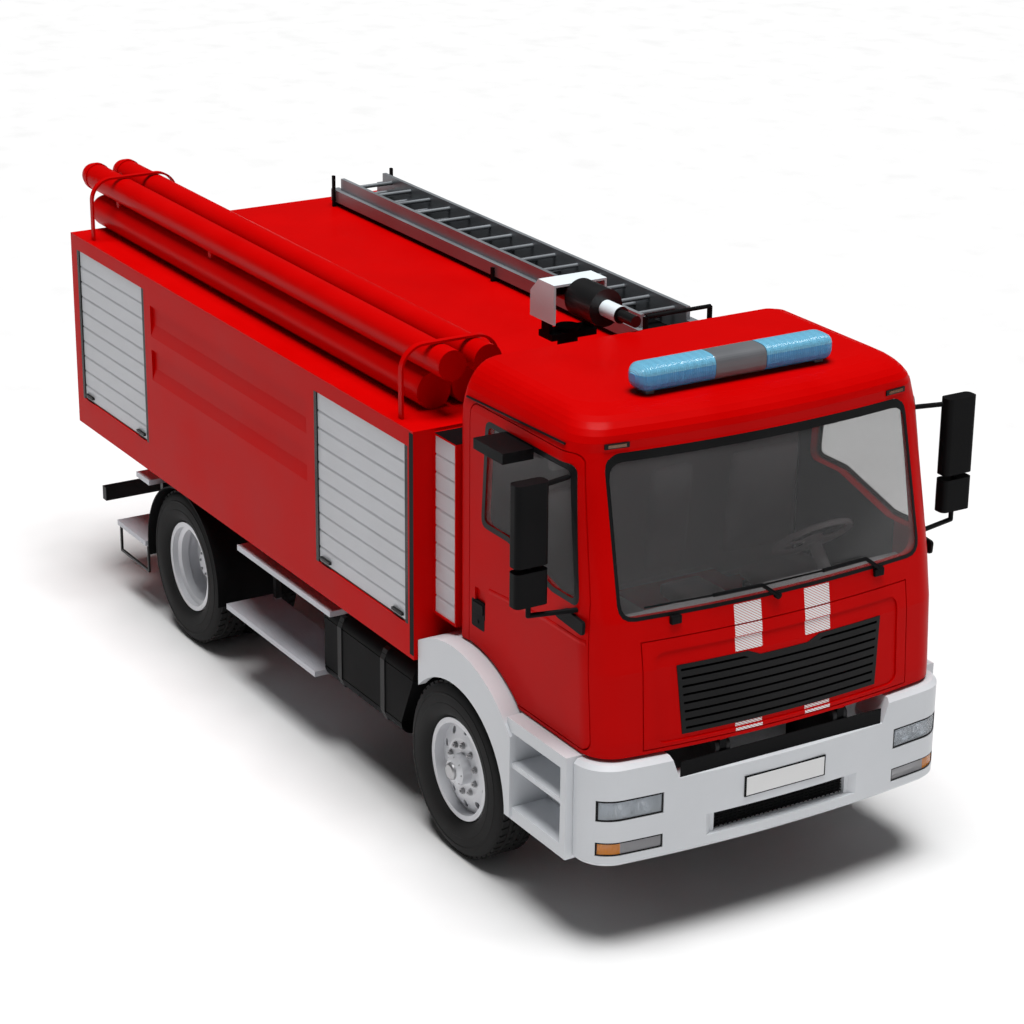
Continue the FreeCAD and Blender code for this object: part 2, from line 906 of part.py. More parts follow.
def drive_line():
    """The propeller shaft between gearbox and rear axle, with a flange at each end."""
    start = rear_axle + S.banjo_nose_length + S.seat_gap
    end = front_axle + S.engine_setback - S.gearbox_length - S.seat_gap
    centre = (0, S.shaft_height)
    return node("propeller_shaft", fused(
        rod("x", centre, S.shaft_radius, (start, end)),
        rod("x", centre, S.shaft_flange_radius, (start, start + S.shaft_flange_length)),
        rod("x", centre, S.shaft_flange_radius, (end - S.shaft_flange_length, end))))


def engine():
    """The engine and gearbox as plain blocks at their real place and size."""
    start = front_axle + S.engine_setback
    half = S.engine_width / 2
    block = box((start, start + S.engine_length), (-half, half),
                (S.engine_bottom, S.engine_bottom + S.engine_height))
    gearbox = box((start - S.gearbox_length, start), (-S.gearbox_width / 2, S.gearbox_width / 2),
                  (S.gearbox_bottom, S.gearbox_bottom + S.gearbox_height))
    return node("engine", fused(block, gearbox))


# Wheels

def tyre(centre_y, axle):
    """A tyre turned from half a section that is mirrored about its middle."""
    bead = S.bead_radius + S.seat_gap
    rise = hub_height - bead
    half = S.tyre_width / 2
    side = [(bead + rise * up, half * out) for up, out in TYRE_SECTION_SHARES]
    outline = side + [(radius, -along) for radius, along in reversed(side)]
    return turned(outline, axle, centre_y, hub_height)


def rim_barrel(centre_y, axle, inward):
    """The rim: flanges at both edges and a dropped well between them."""
    half = S.rim_width / 2
    skin = S.rim_skin
    bead = S.bead_radius
    well = bead - 2 * skin
    outline = [(S.flange_radius, half), (S.flange_radius, half - skin), (bead, half - skin),
               (bead, skin), (well, 0), (well, -half / 2), (bead, -half / 2 - skin), (bead, skin - half),
               (S.flange_radius, skin - half), (S.flange_radius, -half), (bead - skin, -half),
               (bead - skin, -half / 2 - skin), (well - skin, -half / 2), (well - skin, 0),
               (bead - skin, skin), (bead - skin, half)]
    if inward:
        outline = [(radius, -along) for radius, along in reversed(outline)]
    return turned(outline, axle, centre_y, hub_height)


def front_rim():
    """The right front wheel: rim, dished disc with hand holes, and the hub that turns on the spindle."""
    face = -S.front_wheel_face
    disc_back = S.disc_offset + S.disc_thickness
    edge = S.bead_radius - S.rim_skin / 2
    bore = S.spindle_radius + S.seat_gap
    bore_end = S.disc_thickness - S.hub_nose
    drum = S.hub_length - S.drum_length
    outline = [(edge, disc_back + S.disc_thickness), (S.hub_flange_radius, S.disc_offset),
               (S.hub_radius, S.disc_offset), (S.hub_radius, -S.hub_nose),
               (S.hub_radius * 0.7, -2 * S.hub_nose), (0, -2 * S.hub_nose), (0, bore_end), (bore, bore_end),
               (bore, S.hub_length), (S.front_drum_radius, S.hub_length), (S.front_drum_radius, drum),
               (S.hub_radius, drum), (S.hub_radius, disc_back), (S.hub_flange_radius, disc_back),
               (edge, disc_back + 2 * S.disc_thickness)]
    disc = turned(outline, front_axle, face, hub_height)
    holes = hand_holes(front_axle, (face, face + drum))
    return fused(rim_barrel(face + S.rim_width / 2, front_axle, True), less(disc, holes))


def hand_holes(axle, span):
    """A ring of round tools for the hand holes of a disc."""
    tools = []
    for number in range(HAND_HOLES):
        angle = 2 * math.pi * number / HAND_HOLES
        centre = (axle + S.hand_hole_circle * math.sin(angle),
                  hub_height + S.hand_hole_circle * math.cos(angle))
        tools.append(rod("y", centre, S.hand_hole_radius, span))
    return group(*tools)


def twin_rims():
    """The right rear pair: two rims back to back on one hub with its brake drum."""
    centre = S.rim_width / 2 - S.rear_wheel_face
    plane = centre + S.twin_spacing / 2
    disc = S.disc_thickness
    edge = S.bead_radius - S.rim_skin / 2
    reach = S.twin_spacing / 2 - S.rim_width / 2 + S.rim_skin
    bore = S.spindle_radius + S.seat_gap
    tube = S.rear_tube_radius + S.joint_gap
    back = S.twin_spacing / 2 + S.rim_width / 2
    bore_end = disc - S.rear_hub_length
    outline = [(edge, -reach - disc), (edge, -reach), (S.hub_flange_radius, disc),
               (S.rear_drum_radius, disc), (S.rear_drum_radius, back), (tube, back), (tube, disc), (bore, disc), (bore, bore_end),
               (0, bore_end), (0, -S.rear_hub_length), (S.rear_hub_radius * 0.8, -S.rear_hub_length),
               (S.rear_hub_radius, bore_end), (S.rear_hub_radius, -disc), (S.hub_flange_radius, -disc)]
    hub = turned(outline, rear_axle, plane, hub_height)
    holes = hand_holes(rear_axle, (plane - reach - disc, plane + disc))
    inner_disc = turned([(edge, reach), (edge, reach + disc), (S.rear_drum_radius, disc * 2),
                         (S.rear_drum_radius - disc, disc)], rear_axle, plane, hub_height)
    return fused(rim_barrel(centre, rear_axle, False), rim_barrel(centre + S.twin_spacing, rear_axle, True),
                 less(hub, holes), inner_disc)


def wheels():
    """Make the right wheels and mirror them to the left."""
    front_centre = -S.front_wheel_face + S.rim_width / 2
    rear_centre = -S.rear_wheel_face + S.rim_width / 2
    rim = node("front_rim_right", front_rim())
    node("front_rim_left", mirrored(rim))
    rubber = node("front_tyre_right", tyre(front_centre, front_axle))
    node("front_tyre_left", mirrored(rubber))
    twins = node("rear_rims_right", twin_rims())
    node("rear_rims_left", mirrored(twins))
    pair = group(tyre(rear_centre, rear_axle), tyre(rear_centre + S.twin_spacing, rear_axle))
    rubbers = node("rear_tyres_right", pair)
    node("rear_tyres_left", mirrored(rubbers))


# Equipment body

locker_bottom = S.body_floor + S.shutter_sill
locker_top = locker_bottom + S.shutter_height
rear_locker = (body_rear + S.rear_locker_start, body_rear + S.rear_locker_start + S.rear_locker_length)
front_locker = (body_front - S.front_locker_end - S.front_locker_length, body_front - S.front_locker_end)
bay_front = body_front + S.bay_length
bay_half = S.bay_width / 2
bay_top = body_roof - S.bay_drop
bay_opening = (body_front + S.bay_frame, bay_front - S.bay_frame)


def body_shell():
    """The hollow body with its locker openings, pressed bands, and the narrower pump bay ahead of it."""
    wall = S.body_wall
    outer = fused(box((body_rear, body_front), (-half_body, half_body), (S.body_floor, body_roof)),
                  box((body_front, bay_front), (-bay_half, bay_half), (S.bay_floor, bay_top)))
    hollow = fused(
        box((body_rear + wall, body_front - wall), (wall - half_body, half_body - wall),
            (S.body_floor + wall, body_roof - wall)),
        box((body_front - wall - S.overrun, bay_front - wall), (wall - bay_half, bay_half - wall),
            (S.bay_floor + wall, bay_top - wall)))
    cuts = [hollow]
    through = (-half_body - S.overrun, half_body + S.overrun)
    for along in (rear_locker, front_locker):
        cuts.append(box(along, through, (locker_bottom, locker_top)))
    cuts.append(box(bay_opening, through, (S.bay_floor + S.bay_frame, bay_top - S.bay_frame)))
    cuts.append(box((body_rear - S.overrun, body_rear + wall + S.overrun),
                    (-S.tail_locker_width / 2, S.tail_locker_width / 2), (locker_bottom, locker_top)))
    for drop in (S.upper_band_drop, S.lower_band_drop):
        band = pressed_band(body_roof - drop)
        cuts += [band, mirrored(band)]
    return node("body_shell", less(outer, *cuts))


def pressed_band(top):
    """The tool for a long pressing in the right side, with a sloping ledge at its lower edge."""
    face = -half_body
    floor = face + S.band_depth
    ledge = top - S.band_height
    outline = [(face - S.overrun, top), (floor, top), (floor, ledge), (face, ledge - S.band_ledge),
               (face - S.overrun, ledge - S.band_ledge)]
    return prism("x", outline, (rear_locker[1] + S.band_inset, front_locker[0] - S.band_inset))


def slat_outline(face, inward, bottom, top):
    """The section of a roller shutter: each slat's upper edge slopes in below the next one's lip."""
    back = face + inward * S.slat_depth
    groove = face + inward * S.slat_groove
    points = [(back, bottom), (face, bottom)]
    count = int((top - bottom).value // S.slat_pitch.value)
    for number in range(1, count + 1):
        step = bottom + (top - bottom) * number / (count + 1)
        points += [(face, step - S.slat_gap), (groove, step), (face, step)]
    points += [(face, top), (back, top)]
    return points


def side_shutter(along, face, bottom, top, bars=True):
    """A right-hand roller shutter in its guide rails, with its lift bar and handles."""
    gap = S.seat_gap
    outline = slat_outline(face, 1, bottom + gap, top - gap)
    curtain = prism("x", outline, (along[0] + gap, along[1] - gap))
    if not bars:
        return curtain
    rail = S.shutter_rail
    pieces = [curtain]
    for start in (along[0] + gap, along[1] - gap - rail):
        pieces.append(box((start, start + rail), (face - S.shutter_recess, face + S.slat_depth),
                          (bottom + gap, top - gap)))
    for start in (along[0] + rail + S.handle_inset, along[1] - rail - S.handle_inset - S.handle_length):
        pieces.append(box((start, start + S.handle_length), (face - S.handle_stand, face + S.slat_groove),
                          (bottom + S.handle_inset, bottom + S.handle_inset + S.handle_height)))
    return fused(*pieces)


def roller_shutters():
    """The shutters of the side lockers, the pump bay and the tail."""
    face = -half_body + S.shutter_recess
    side = group(side_shutter(rear_locker, face, locker_bottom, locker_top),
                 side_shutter(front_locker, face, locker_bottom, locker_top),
                 side_shutter(bay_opening, -bay_half + S.shutter_recess, S.bay_floor + S.bay_frame,
                              bay_top - S.bay_frame, bars=False))
    tail_face = body_rear + S.shutter_recess
    half = S.tail_locker_width / 2
    gap = S.seat_gap
    outline = slat_outline(tail_face, 1, locker_bottom + gap, locker_top - gap)
    curtain = fused(prism("y", outline, (gap - half, half - gap)), box(
        (tail_face - S.handle_stand, tail_face + S.slat_groove), (-S.handle_length, S.handle_length),
        (locker_bottom + S.handle_inset, locker_bottom + S.handle_inset + S.handle_height)))
    return node("roller_shutters", group(side, mirrored(side), curtain))


def tread_steps():
    """Chequer-plate steps hung from the body floor: two before the rear wheels, two behind them."""
    before = fused(
        step_plate(S.upper_step_front, S.upper_step_length, S.upper_step_drop, S.step_depth),
        step_plate(S.lower_step_front, S.lower_step_length, S.lower_step_drop, S.step_depth + S.step_hanger),
        *step_hangers(S.lower_step_front, S.lower_step_length))
    behind = fused(
        step_plate(S.rear_high_step_front, S.rear_high_step_length, S.upper_step_drop, S.step_depth),
        step_plate(S.rear_step_front, S.rear_step_length, S.lower_step_drop, S.step_depth + S.step_hanger),
        *step_hangers(S.rear_step_front, S.rear_step_length), *step_legs())
    return node("tread_steps", group(before, mirrored(before), behind, mirrored(behind)))


def step_plate(setback, length, drop, depth):
    """A step plate whose front edge lies a setback behind the front axle."""
    front = front_axle - setback
    top = S.body_floor - drop
    return box((front - length, front), (-half_body, depth - half_body), (top - S.step_thickness, top))


def step_hangers(setback, length):
    """Two flat hangers from the lower step's inner edge up to the body floor."""
    front = front_axle - setback
    inner = S.step_depth - half_body
    low = S.body_floor - S.lower_step_drop - S.step_thickness
    pieces = []
    for start in (front - S.step_hanger_inset - S.step_hanger, front - length + S.step_hanger_inset):
        pieces.append(box((start, start + S.step_hanger), (inner, inner + S.step_hanger),
                          (low, S.body_floor - S.seat_gap)))
    return pieces


def step_legs():
    """A hanging frame below the rear step that serves as its first rung."""
    front = front_axle - S.rear_step_front
    back = front - S.rear_step_length
    top = S.body_floor - S.lower_step_drop - S.step_thickness
    across = (S.step_leg - half_body, 2 * S.step_leg - half_body)
    low = top - S.step_leg_drop
    pieces = [box((back, front), across, (low, low + S.step_leg))]
    for start in (back, front - S.step_leg):
        pieces.append(box((start, start + S.step_leg), across, (low, top)))
    return pieces


def side_boxes():
    """Closed boxes beside the rails, cut back at the front so that the steered wheel clears them."""
    front = front_axle - S.side_box_front
    back = front - S.side_box_length
    top = S.body_floor - S.side_box_top_drop
    low = top - S.side_box_height
    outer = -S.side_box_face
    inner = outer + S.side_box_width
    outline = [(back, low), (front - S.side_box_slope, low),
               (front - S.side_box_slope, low + S.side_box_step),
               (front, top - S.side_box_step), (front, top), (back, top)]
    block = rounded(prism("y", outline, (outer, inner)), S.side_box_round, lambda edge: runs_along(
        edge, Vector(1, 0, 0)) and edge.CenterOfMass.y < float(inner) - 1 and edge.Length > float(
            S.side_box_slope))
    seams = []
    for height in (low + S.side_box_round, top - S.side_box_round - S.side_box_seam):
        seams.append(box((back - S.overrun, front + S.overrun), (outer - S.overrun, outer + S.side_box_seam),
                         (height, height + S.side_box_seam)))
    brackets = []
    for start in (back + S.side_box_nose, front - S.side_box_slope - 2 * S.side_box_bracket):
        brackets.append(box((start, start + S.side_box_bracket), (inner, -rail_face - S.seat_gap),
                            (rail_bottom, rail_bottom + S.side_box_bracket)))
    return node("side_boxes", both_sides(fused(less(block, *seams), *brackets)))


def rear_mudguards():
    """A bent sheet over each pair of rear wheels, just below the body floor."""
    outer = S.body_floor - hub_height - S.seat_gap
    across = (-S.mudguard_outer, -S.mudguard_inner)
    centre = (rear_axle, hub_height)
    ring = less(rod("y", centre, outer, across), rod("y", centre, outer - S.mudguard_skin, across))
    kept = box((rear_axle - outer, rear_axle + outer), across, (S.mudguard_bottom, S.body_floor))
    return node("rear_mudguards", both_sides(shared(ring, kept)))


def tail_lamps():
    """A lamp block at each rear corner below the roller shutter's sill."""
    outer = S.tail_lamp_edge - half_body
    low = S.body_floor + S.tail_lamp_rise
    block = box((body_rear - S.tail_lamp_depth, body_rear - S.seat_gap), (outer, outer + S.tail_lamp_width),
                (low, low + S.tail_lamp_height))
    return node("tail_lamps", both_sides(block))


def tail_ladder():
    """A fixed ladder on the body's rear wall, left of the shutter."""
    middle = S.tail_ladder_place + S.tail_ladder_width / 2
    x = body_rear - S.tail_ladder_stand
    low = S.body_floor + S.shutter_sill + S.tail_ladder_rise
    high = body_roof - S.tail_ladder_drop
    pieces = []
    for place_y in (S.tail_ladder_place, S.tail_ladder_place + S.tail_ladder_width):
        pieces.append(rod("z", (x, place_y), S.tail_ladder_tube, (low, high)))
        for height in (low + S.tail_ladder_rise, high - S.tail_ladder_rise):
            pieces.append(rod("x", (place_y, height), S.tail_ladder_tube, (x, body_rear - S.seat_gap)))
    for number in range(TAIL_RUNGS):
        height = low + S.tail_ladder_rise + (high - low - 2 * S.tail_ladder_rise) * number / (TAIL_RUNGS - 1)
        pieces.append(rod("y", (x, height), S.tail_ladder_tube,
                          (middle - S.tail_ladder_width / 2, middle + S.tail_ladder_width / 2)))
    return node("tail_ladder", fused(*pieces))


# Front wing, entry steps and bumper

def front_fenders():
    """The wing over the steered wheel and the stepped entry box ahead of it, in one."""
    centre = (arch_x, hub_height)
    lip = (-S.wing_face, S.arch_lip - S.wing_face)
    inside = (S.arch_lip - S.wing_face, -S.wing_inner)
    full = (-S.wing_face, -S.wing_inner)
    ring = fused(less(rod("y", centre, S.wing_radius, lip), rod("y", centre, S.arch_radius, lip)),
                 less(rod("y", centre, S.wing_radius, inside),
                      rod("y", centre, S.arch_liner_radius, inside)))
    front = nose - S.entry_front_gap
    back = front - S.entry_length
    top = S.cab_floor - S.entry_top_gap
    wing = shared(ring, fused(
        box((body_front + S.joint_gap, back + S.entry_post), full, (hub_height, hub_height + S.wing_radius)),
        box((back, front), full, (top - S.entry_sill, hub_height + S.wing_radius))))
    lower = S.entry_bottom + S.entry_sill
    recess = (back + S.entry_post, front - S.entry_post)
    across = (-S.entry_face - S.overrun, -S.entry_wall_place)
    block = less(box((back, front), (-S.entry_face, -S.entry_back), (S.entry_bottom, top)),
                 box(recess, across, (lower, S.entry_tread_height - S.entry_tread)),
                 box(recess, across, (S.entry_tread_height, top - S.entry_sill)))
    return node("front_fenders", both_sides(fused(wing, block)))


def plan_wire(z, front, rear, half, bow, place_y, corner, rear_corner):
    """A closed outline seen from above: bowed front, round front corners, straight sides and rear."""
    radius = (place_y ** 2 + bow ** 2) / (2 * bow)
    centre = front - radius
    corner_x = centre + math.sqrt((radius - corner) ** 2 - (half - corner) ** 2)
    lean = math.atan2(half - corner, corner_x - centre)
    meet = Vector(centre + radius * math.cos(lean), radius * math.sin(lean), z)
    turn = (math.pi / 2 + lean) / 2
    middle = Vector(corner_x + corner * math.cos(turn), half - corner + corner * math.sin(turn), z)
    side = Vector(corner_x, half, z)
    back = Vector(rear + rear_corner, half, z)
    slant = rear_corner * (1 - math.sqrt(0.5))
    bend = Vector(rear + slant, half - slant, z)
    tail_end = Vector(rear, half - rear_corner, z)

    def over(point):
        return Vector(point.x, -point.y, point.z)

    edges = [Part.LineSegment(over(tail_end), tail_end), Part.Arc(tail_end, bend, back),
             Part.LineSegment(back, side), Part.Arc(side, middle, meet),
             Part.Arc(meet, Vector(front, 0, z), over(meet)), Part.Arc(over(meet), over(middle), over(side)),
             Part.LineSegment(over(side), over(back)), Part.Arc(over(back), over(bend), over(tail_end))]
    return Part.Wire([edge.toShape() for edge in edges])


def quarter(inset, rise, height):
    """How far an elliptical rounding has come in at a height above its start."""
    share = min(max(height / rise, 0.0), 1.0)
    return inset * (1 - math.sqrt(1 - share ** 2))


def cab_front(z):
    """The outer skin's foremost place at a height, on the middle line."""
    levels = [(S.cab_floor, S.cab_front_floor), (S.cab_skirt, S.cab_front_floor),
              (S.cab_belt, S.cab_front_belt), (S.cab_sill, S.cab_front_sill),
              (S.cab_header, S.cab_front_header)]
    setbacks = [(height.value, setback.value) for height, setback in levels]
    for (low, first), (high, second) in zip(setbacks, setbacks[1:]):
        if z <= high:
            return nose.value - first - (second - first) * max(z - low, 0) / (high - low)
    return nose.value - setbacks[-1][1]


def cab_form(inset):
    """The cab's whole form, or the same form drawn in by an inset for its inner side and its rebates."""
    if float(inset) in FORMS:
        return FORMS[float(inset)]
    depth = float(inset)
    low, high = float(S.cab_floor) + min(depth, float(S.floor_thickness)), float(cab_top) - depth
    side_start, front_start = float(S.roof_side_start), float(S.roof_front_start)
    levels = [low, float(S.cab_skirt), float(S.cab_belt), float(S.cab_sill)]
    levels += [side_start + share * (high - side_start) for share in ROOF_LEVEL_SHARES]
    wires = []
    for z in levels:
        side_in = quarter(float(S.roof_side_inset), high - side_start, z - side_start)
        front_in = quarter(float(S.roof_front_inset), high - front_start, z - front_start)
        wires.append(plan_wire(z, cab_front(z) - depth - front_in, float(cab_rear) + depth,
                               float(half_cab) - depth - side_in, float(S.cab_bulge),
                               float(S.cab_bulge_place), float(S.cab_corner) - depth,
                               max(float(S.cab_rear_corner) - depth, 1.0)))
    FORMS[depth] = shaped(Part.makeLoft(wires, True, True))
    return FORMS[depth]


def bumper_form(inset):
    """The bumper's whole form with drawn-in lower and upper edges."""
    depth = float(inset)
    low, high = float(S.bumper_bottom), float(S.bumper_bottom + S.bumper_height)
    edge = float(S.bumper_round)
    wires = []
    for z, draw in ((low, edge), (low + edge, 0.0), (high - edge, 0.0), (high, edge)):
        wires.append(plan_wire(z, float(nose) - depth - draw, float(nose - S.bumper_length),
                               float(S.bumper_width / 2) - depth - draw, float(S.bumper_bulge),
                               float(S.cab_bulge_place), float(S.bumper_corner) - depth - draw, 1.0))
    return shaped(Part.makeLoft(wires, True, True))


def bumper():
    """A hollow bumper with raised corners, lamp pockets, an air intake and brackets on the rail ends."""
    back = nose - S.bumper_length
    low = S.bumper_bottom
    shelf = low + S.bumper_height - S.bumper_dip
    half_dip = S.bumper_dip_width / 2
    high = low + S.bumper_height + S.overrun
    slope = half_dip + S.bumper_dip_slope
    dip = prism("x", [(-half_dip, shelf), (half_dip, shelf), (slope, high), (-slope, high)],
                (back - S.overrun, nose + S.overrun))
    inside = shared(bumper_form(S.bumper_skin),
                    box((back, nose), (-S.bumper_width, S.bumper_width), (low, shelf - S.bumper_top_skin)))
    behind = box((back - S.overrun, nose - S.bumper_shelf), (-half_dip, half_dip), (low - S.overrun, high))
    slot = S.intake_width / 2
    intake = box((nose - S.bumper_skin - S.bumper_bulge / 2, nose + S.overrun), (-slot, slot),
                 (S.intake_bottom, S.intake_bottom + S.intake_height))
    shell = less(bumper_form(0), dip, inside, behind, intake, lip_recess(), *lamp_boxes(S.seat_gap))
    inner = rail_face - S.rail_flange + S.bumper_bracket_inset
    outer = rail_face - S.bumper_bracket_inset
    brackets = []
    for across in ((inner, outer), (-outer, -inner)):
        brackets.append(box((rail_front + S.seat_gap, nose - S.bumper_skin / 2), across,
                            (rail_bottom, rail_bottom + S.bumper_bracket_height)))
    brackets = shared(fused(*brackets), bumper_form(S.bumper_skin / 2))
    return node("bumper", fused(shell, brackets))


def lip_recess():
    """The wide recess round the air intake, with slanted ends and a level ledge below."""
    back, front = S.lip_width / 2, S.lip_front_width / 2
    outline = [(nose - S.lip_depth, -back), (nose + S.overrun, -front), (nose + S.overrun, front),
               (nose - S.lip_depth, back)]
    return prism("z", outline, (S.lip_bottom, S.lip_bottom + S.lip_height))


def lamp_boxes(gap):
    """The blocks in which headlamps and turn signals lie, grown by a gap."""
    blocks = []
    for low, height in ((S.headlamp_bottom, S.headlamp_height), (S.indicator_bottom, S.indicator_height)):
        for inner, outer in ((S.headlamp_inner, S.headlamp_outer), (-S.headlamp_outer, -S.headlamp_inner)):
            blocks.append(box((nose - S.bumper_length + S.bumper_skin - gap, nose + S.overrun),
                              (inner - gap, outer + gap), (low - gap, low + height + gap)))
    return blocks


def front_lamps():
    """Headlamps and turn signals that follow the bumper's skin."""
    layer = less(bumper_form(S.lamp_inset), bumper_form(S.lamp_inset + S.lamp_depth))
    return node("front_lamps", group(*[shared(layer, block) for block in lamp_boxes(0)]))


# Cab

def cab_shell():
    """The hollow cab with its arches, engine tunnel, openings and the rebates that doors and flap sit in."""
    centre = (arch_x, hub_height)
    inner = half_cab - S.cab_wall
    housings = []
    arches = []
    for sign in (-1, 1):
        deep = S.arch_inner - S.arch_skin
        reach = (deep, half_cab) if sign == 1 else (-half_cab, -deep)
        beyond = (S.arch_inner, half_body) if sign == 1 else (-half_body, -S.arch_inner)
        housings.append(rod("y", centre, S.cab_arch_radius + S.arch_skin, reach))
        arches.append(rod("y", centre, S.cab_arch_radius, beyond))
    half = S.tunnel_width / 2
    wall = S.tunnel_wall
    top = S.cab_floor + S.tunnel_height
    housings.append(box((cab_rear, cab_rear + S.tunnel_length + wall), (-half - wall, half + wall),
                        (S.cab_floor, top + wall)))
    tunnel = box((cab_rear - S.overrun, cab_rear + S.tunnel_length), (-half, half),
                 (S.cab_floor - S.overrun, top))
    shell = fused(less(cab_form(0), cab_form(S.cab_wall)), shared(cab_form(0), fused(*housings)))
    screen = screen_block(0)
    span = (-half_body, -inner / 2)
    frame = softened("y", door_outline(S.joint_gap), span, S.door_corner)
    through = less(fused(softened("y", door_outline(-S.door_flange), span, S.door_corner),
                         shared(frame, prism("y", hinge_side(), span))),
                   rod("y", centre, S.cab_arch_radius + S.arch_skin, (-half_body, 0)))
    rebate = less(softened("y", door_outline(S.joint_gap), (-half_body, -S.arch_inner), S.door_corner),
                  cab_form(S.door_thickness + S.seat_gap))
    flap_space = less(flap_prism(S.joint_gap), cab_form(S.flap_thickness + S.seat_gap))
    cuts = [*arches, tunnel, screen, through, mirrored(through), rebate, mirrored(rebate), flap_space]
    return node("cab_shell", fused(less(shell, *cuts), *pivot_lugs()))


def pivot_lugs():
    """The lugs below the cab floor that the tilt pins pass through."""
    pieces = []
    for sign in (-1, 1):
        low = sign * pivot_lug_place - S.pivot_lug_thickness / 2
        across = (low, low + S.pivot_lug_thickness)
        block = fused(rod("y", (pivot_x, S.cab_pivot_height), S.pivot_ear_radius, across),
                      box((pivot_x - S.pivot_ear_radius, pivot_x + S.pivot_ear_radius), across,
                          (S.cab_pivot_height, S.cab_floor + S.joint_gap)))
        bore = rod("y", (pivot_x, S.cab_pivot_height), S.pivot_pin_radius + S.seat_gap,
                   (low - S.overrun, low + S.pivot_lug_thickness + S.overrun))
        pieces.append(shared(less(block, bore), box((rail_front - S.rail_height, nose), across,
                                                    (rail_bottom, cab_top))))
    return [less(fused(*pieces), less(cab_ahead(), cab_form(0)))]


def cab_ahead():
    """The space before the cab's front skin above its floor."""
    return box((pivot_x - S.pivot_ear_radius, nose + S.overrun), (-half_cab, half_cab),
               (S.cab_floor, cab_top))


def softened(axis, outline, span, radius):
    """An outline padded along one axis, with its corner edges rounded."""
    return rounded(prism(axis, outline, span), radius, lambda edge: runs_along(edge, AXES[axis]))


def screen_block(inset):
    """The windscreen's outline, padded back through the cab's front wall."""
    low, high = S.screen_bottom_width / 2 - inset, S.screen_top_width / 2 - inset
    outline = [(-low, S.cab_sill + inset), (low, S.cab_sill + inset), (high, S.cab_header - inset),
               (-high, S.cab_header - inset)]
    return softened("x", outline, (nose - S.cab_front_header * 2, nose), S.screen_corner)


def door_outline(grow):
    """A door seen from the side, grown on all sides; its lower rear edge is cut by the arch elsewhere."""
    rear = nose - S.door_rear - grow
    return [(rear, S.door_bottom - grow), (nose - S.door_front + grow, S.door_bottom - grow),
            (nose - S.door_front_sill + grow, S.door_sill),
            (nose - S.door_front_top + grow, S.door_top + grow), (rear, S.door_top + grow)]


def hinge_side():
    """The strip along a door's front edge that has no ledge behind it, so that the leaf can swing."""
    low, high = S.door_bottom - S.overrun, S.door_top + S.overrun
    edge = [(nose - S.door_front + S.overrun, low), (nose - S.door_front_sill + S.overrun, S.door_sill),
            (nose - S.door_front_top + S.overrun, high)]
    return edge + [(x - S.overrun - S.hinge_relief, z) for x, z in reversed(edge)]


def window_outline(inset):
    """A door's window, whose lower edge steps down towards the front."""
    return [(nose - S.window_rear + inset, S.window_high + inset),
            (nose - S.window_step_high, S.window_high + inset),
            (nose - S.window_step_low, S.window_low + inset),
            (nose - S.window_front - inset, S.window_low + inset),
            (nose - S.window_front_top - inset, S.window_head - inset),
            (nose - S.window_rear_top + inset, S.window_head - inset)]


def flap_prism(grow):
    """The front flap's block, grown on all sides."""
    half = S.flap_width / 2 + grow
    return box((nose - S.cab_front_header, nose), (-half, half), (S.flap_bottom - grow, S.flap_top + grow))


def grille_outline(grow):
    """The grille seen from the front, with the flap's tongue let into its upper edge."""
    low, high = S.grille_bottom_width / 2 + grow, S.grille_top_width / 2 + grow
    wide, narrow = S.notch_width / 2 - grow, S.notch_inner_width / 2 - grow
    top = S.grille_top + grow
    return [(-low, S.grille_bottom - grow), (low, S.grille_bottom - grow), (high, top), (wide, top),
            (narrow, top - S.notch_drop), (-narrow, top - S.notch_drop), (-wide, top), (-high, top)]


def door():
    """The right door, as thick as its wall, with its window cut out and a recess for the handle."""
    layer = less(cab_form(0), cab_form(S.door_thickness))
    leaf = shared(layer, softened("y", door_outline(0), (-half_body, S.cab_wall * 2 - half_cab),
                                  S.door_corner))
    window = softened("y", window_outline(0), (-half_body, 0), S.window_corner)
    arch = rod("y", (arch_x, hub_height), S.cab_arch_radius + S.joint_gap, (-half_body, 0))
    panel_start = nose - S.door_rear + S.handle_panel_inset
    panel = box((panel_start, panel_start + S.handle_panel_width), (-half_body, S.handle_recess - half_cab),
                (S.handle_panel_bottom, S.handle_panel_bottom + S.handle_panel_height))
    return less(leaf, window, arch, panel)


def glass_layer():
    """The thin layer in the cab's skin that all panes are cut from."""
    return less(cab_form(S.glass_inset), cab_form(S.glass_inset + S.glass_thickness))


def doors_and_glass():
    """Doors with their panes, and the windscreen."""
    right = node("door_right", door())
    node("door_left", mirrored(right))
    pane = node("door_glass_right", shared(
        glass_layer(), softened("y", window_outline(S.seat_gap), (-half_body, -S.arch_inner),
                                S.window_corner)))
    node("door_glass_left", mirrored(pane))
    node("windscreen", shared(glass_layer(), screen_block(S.seat_gap)))


def front_flap():
    """The flap below the windscreen, with a shallow pressed panel that carries the grille."""
    layer = less(cab_form(0), cab_form(S.flap_thickness))
    span = (nose - S.cab_front_header, nose)
    opening = prism("x", grille_outline(S.seat_gap), span)
    half = S.panel_width / 2
    panel = softened("x", [(-half, S.panel_bottom), (half, S.panel_bottom), (half, S.panel_top),
                           (-half, S.panel_top)], span, S.door_corner)
    pressed = less(panel, cab_form(S.panel_depth))
    behind = box((nose - S.cab_front_header, nose - S.flap_lip), (-half_cab, half_cab),
                 (S.flap_bottom, S.cab_floor + S.floor_thickness))
    return node("front_flap", less(shared(layer, flap_prism(0)), pressed, opening, behind))


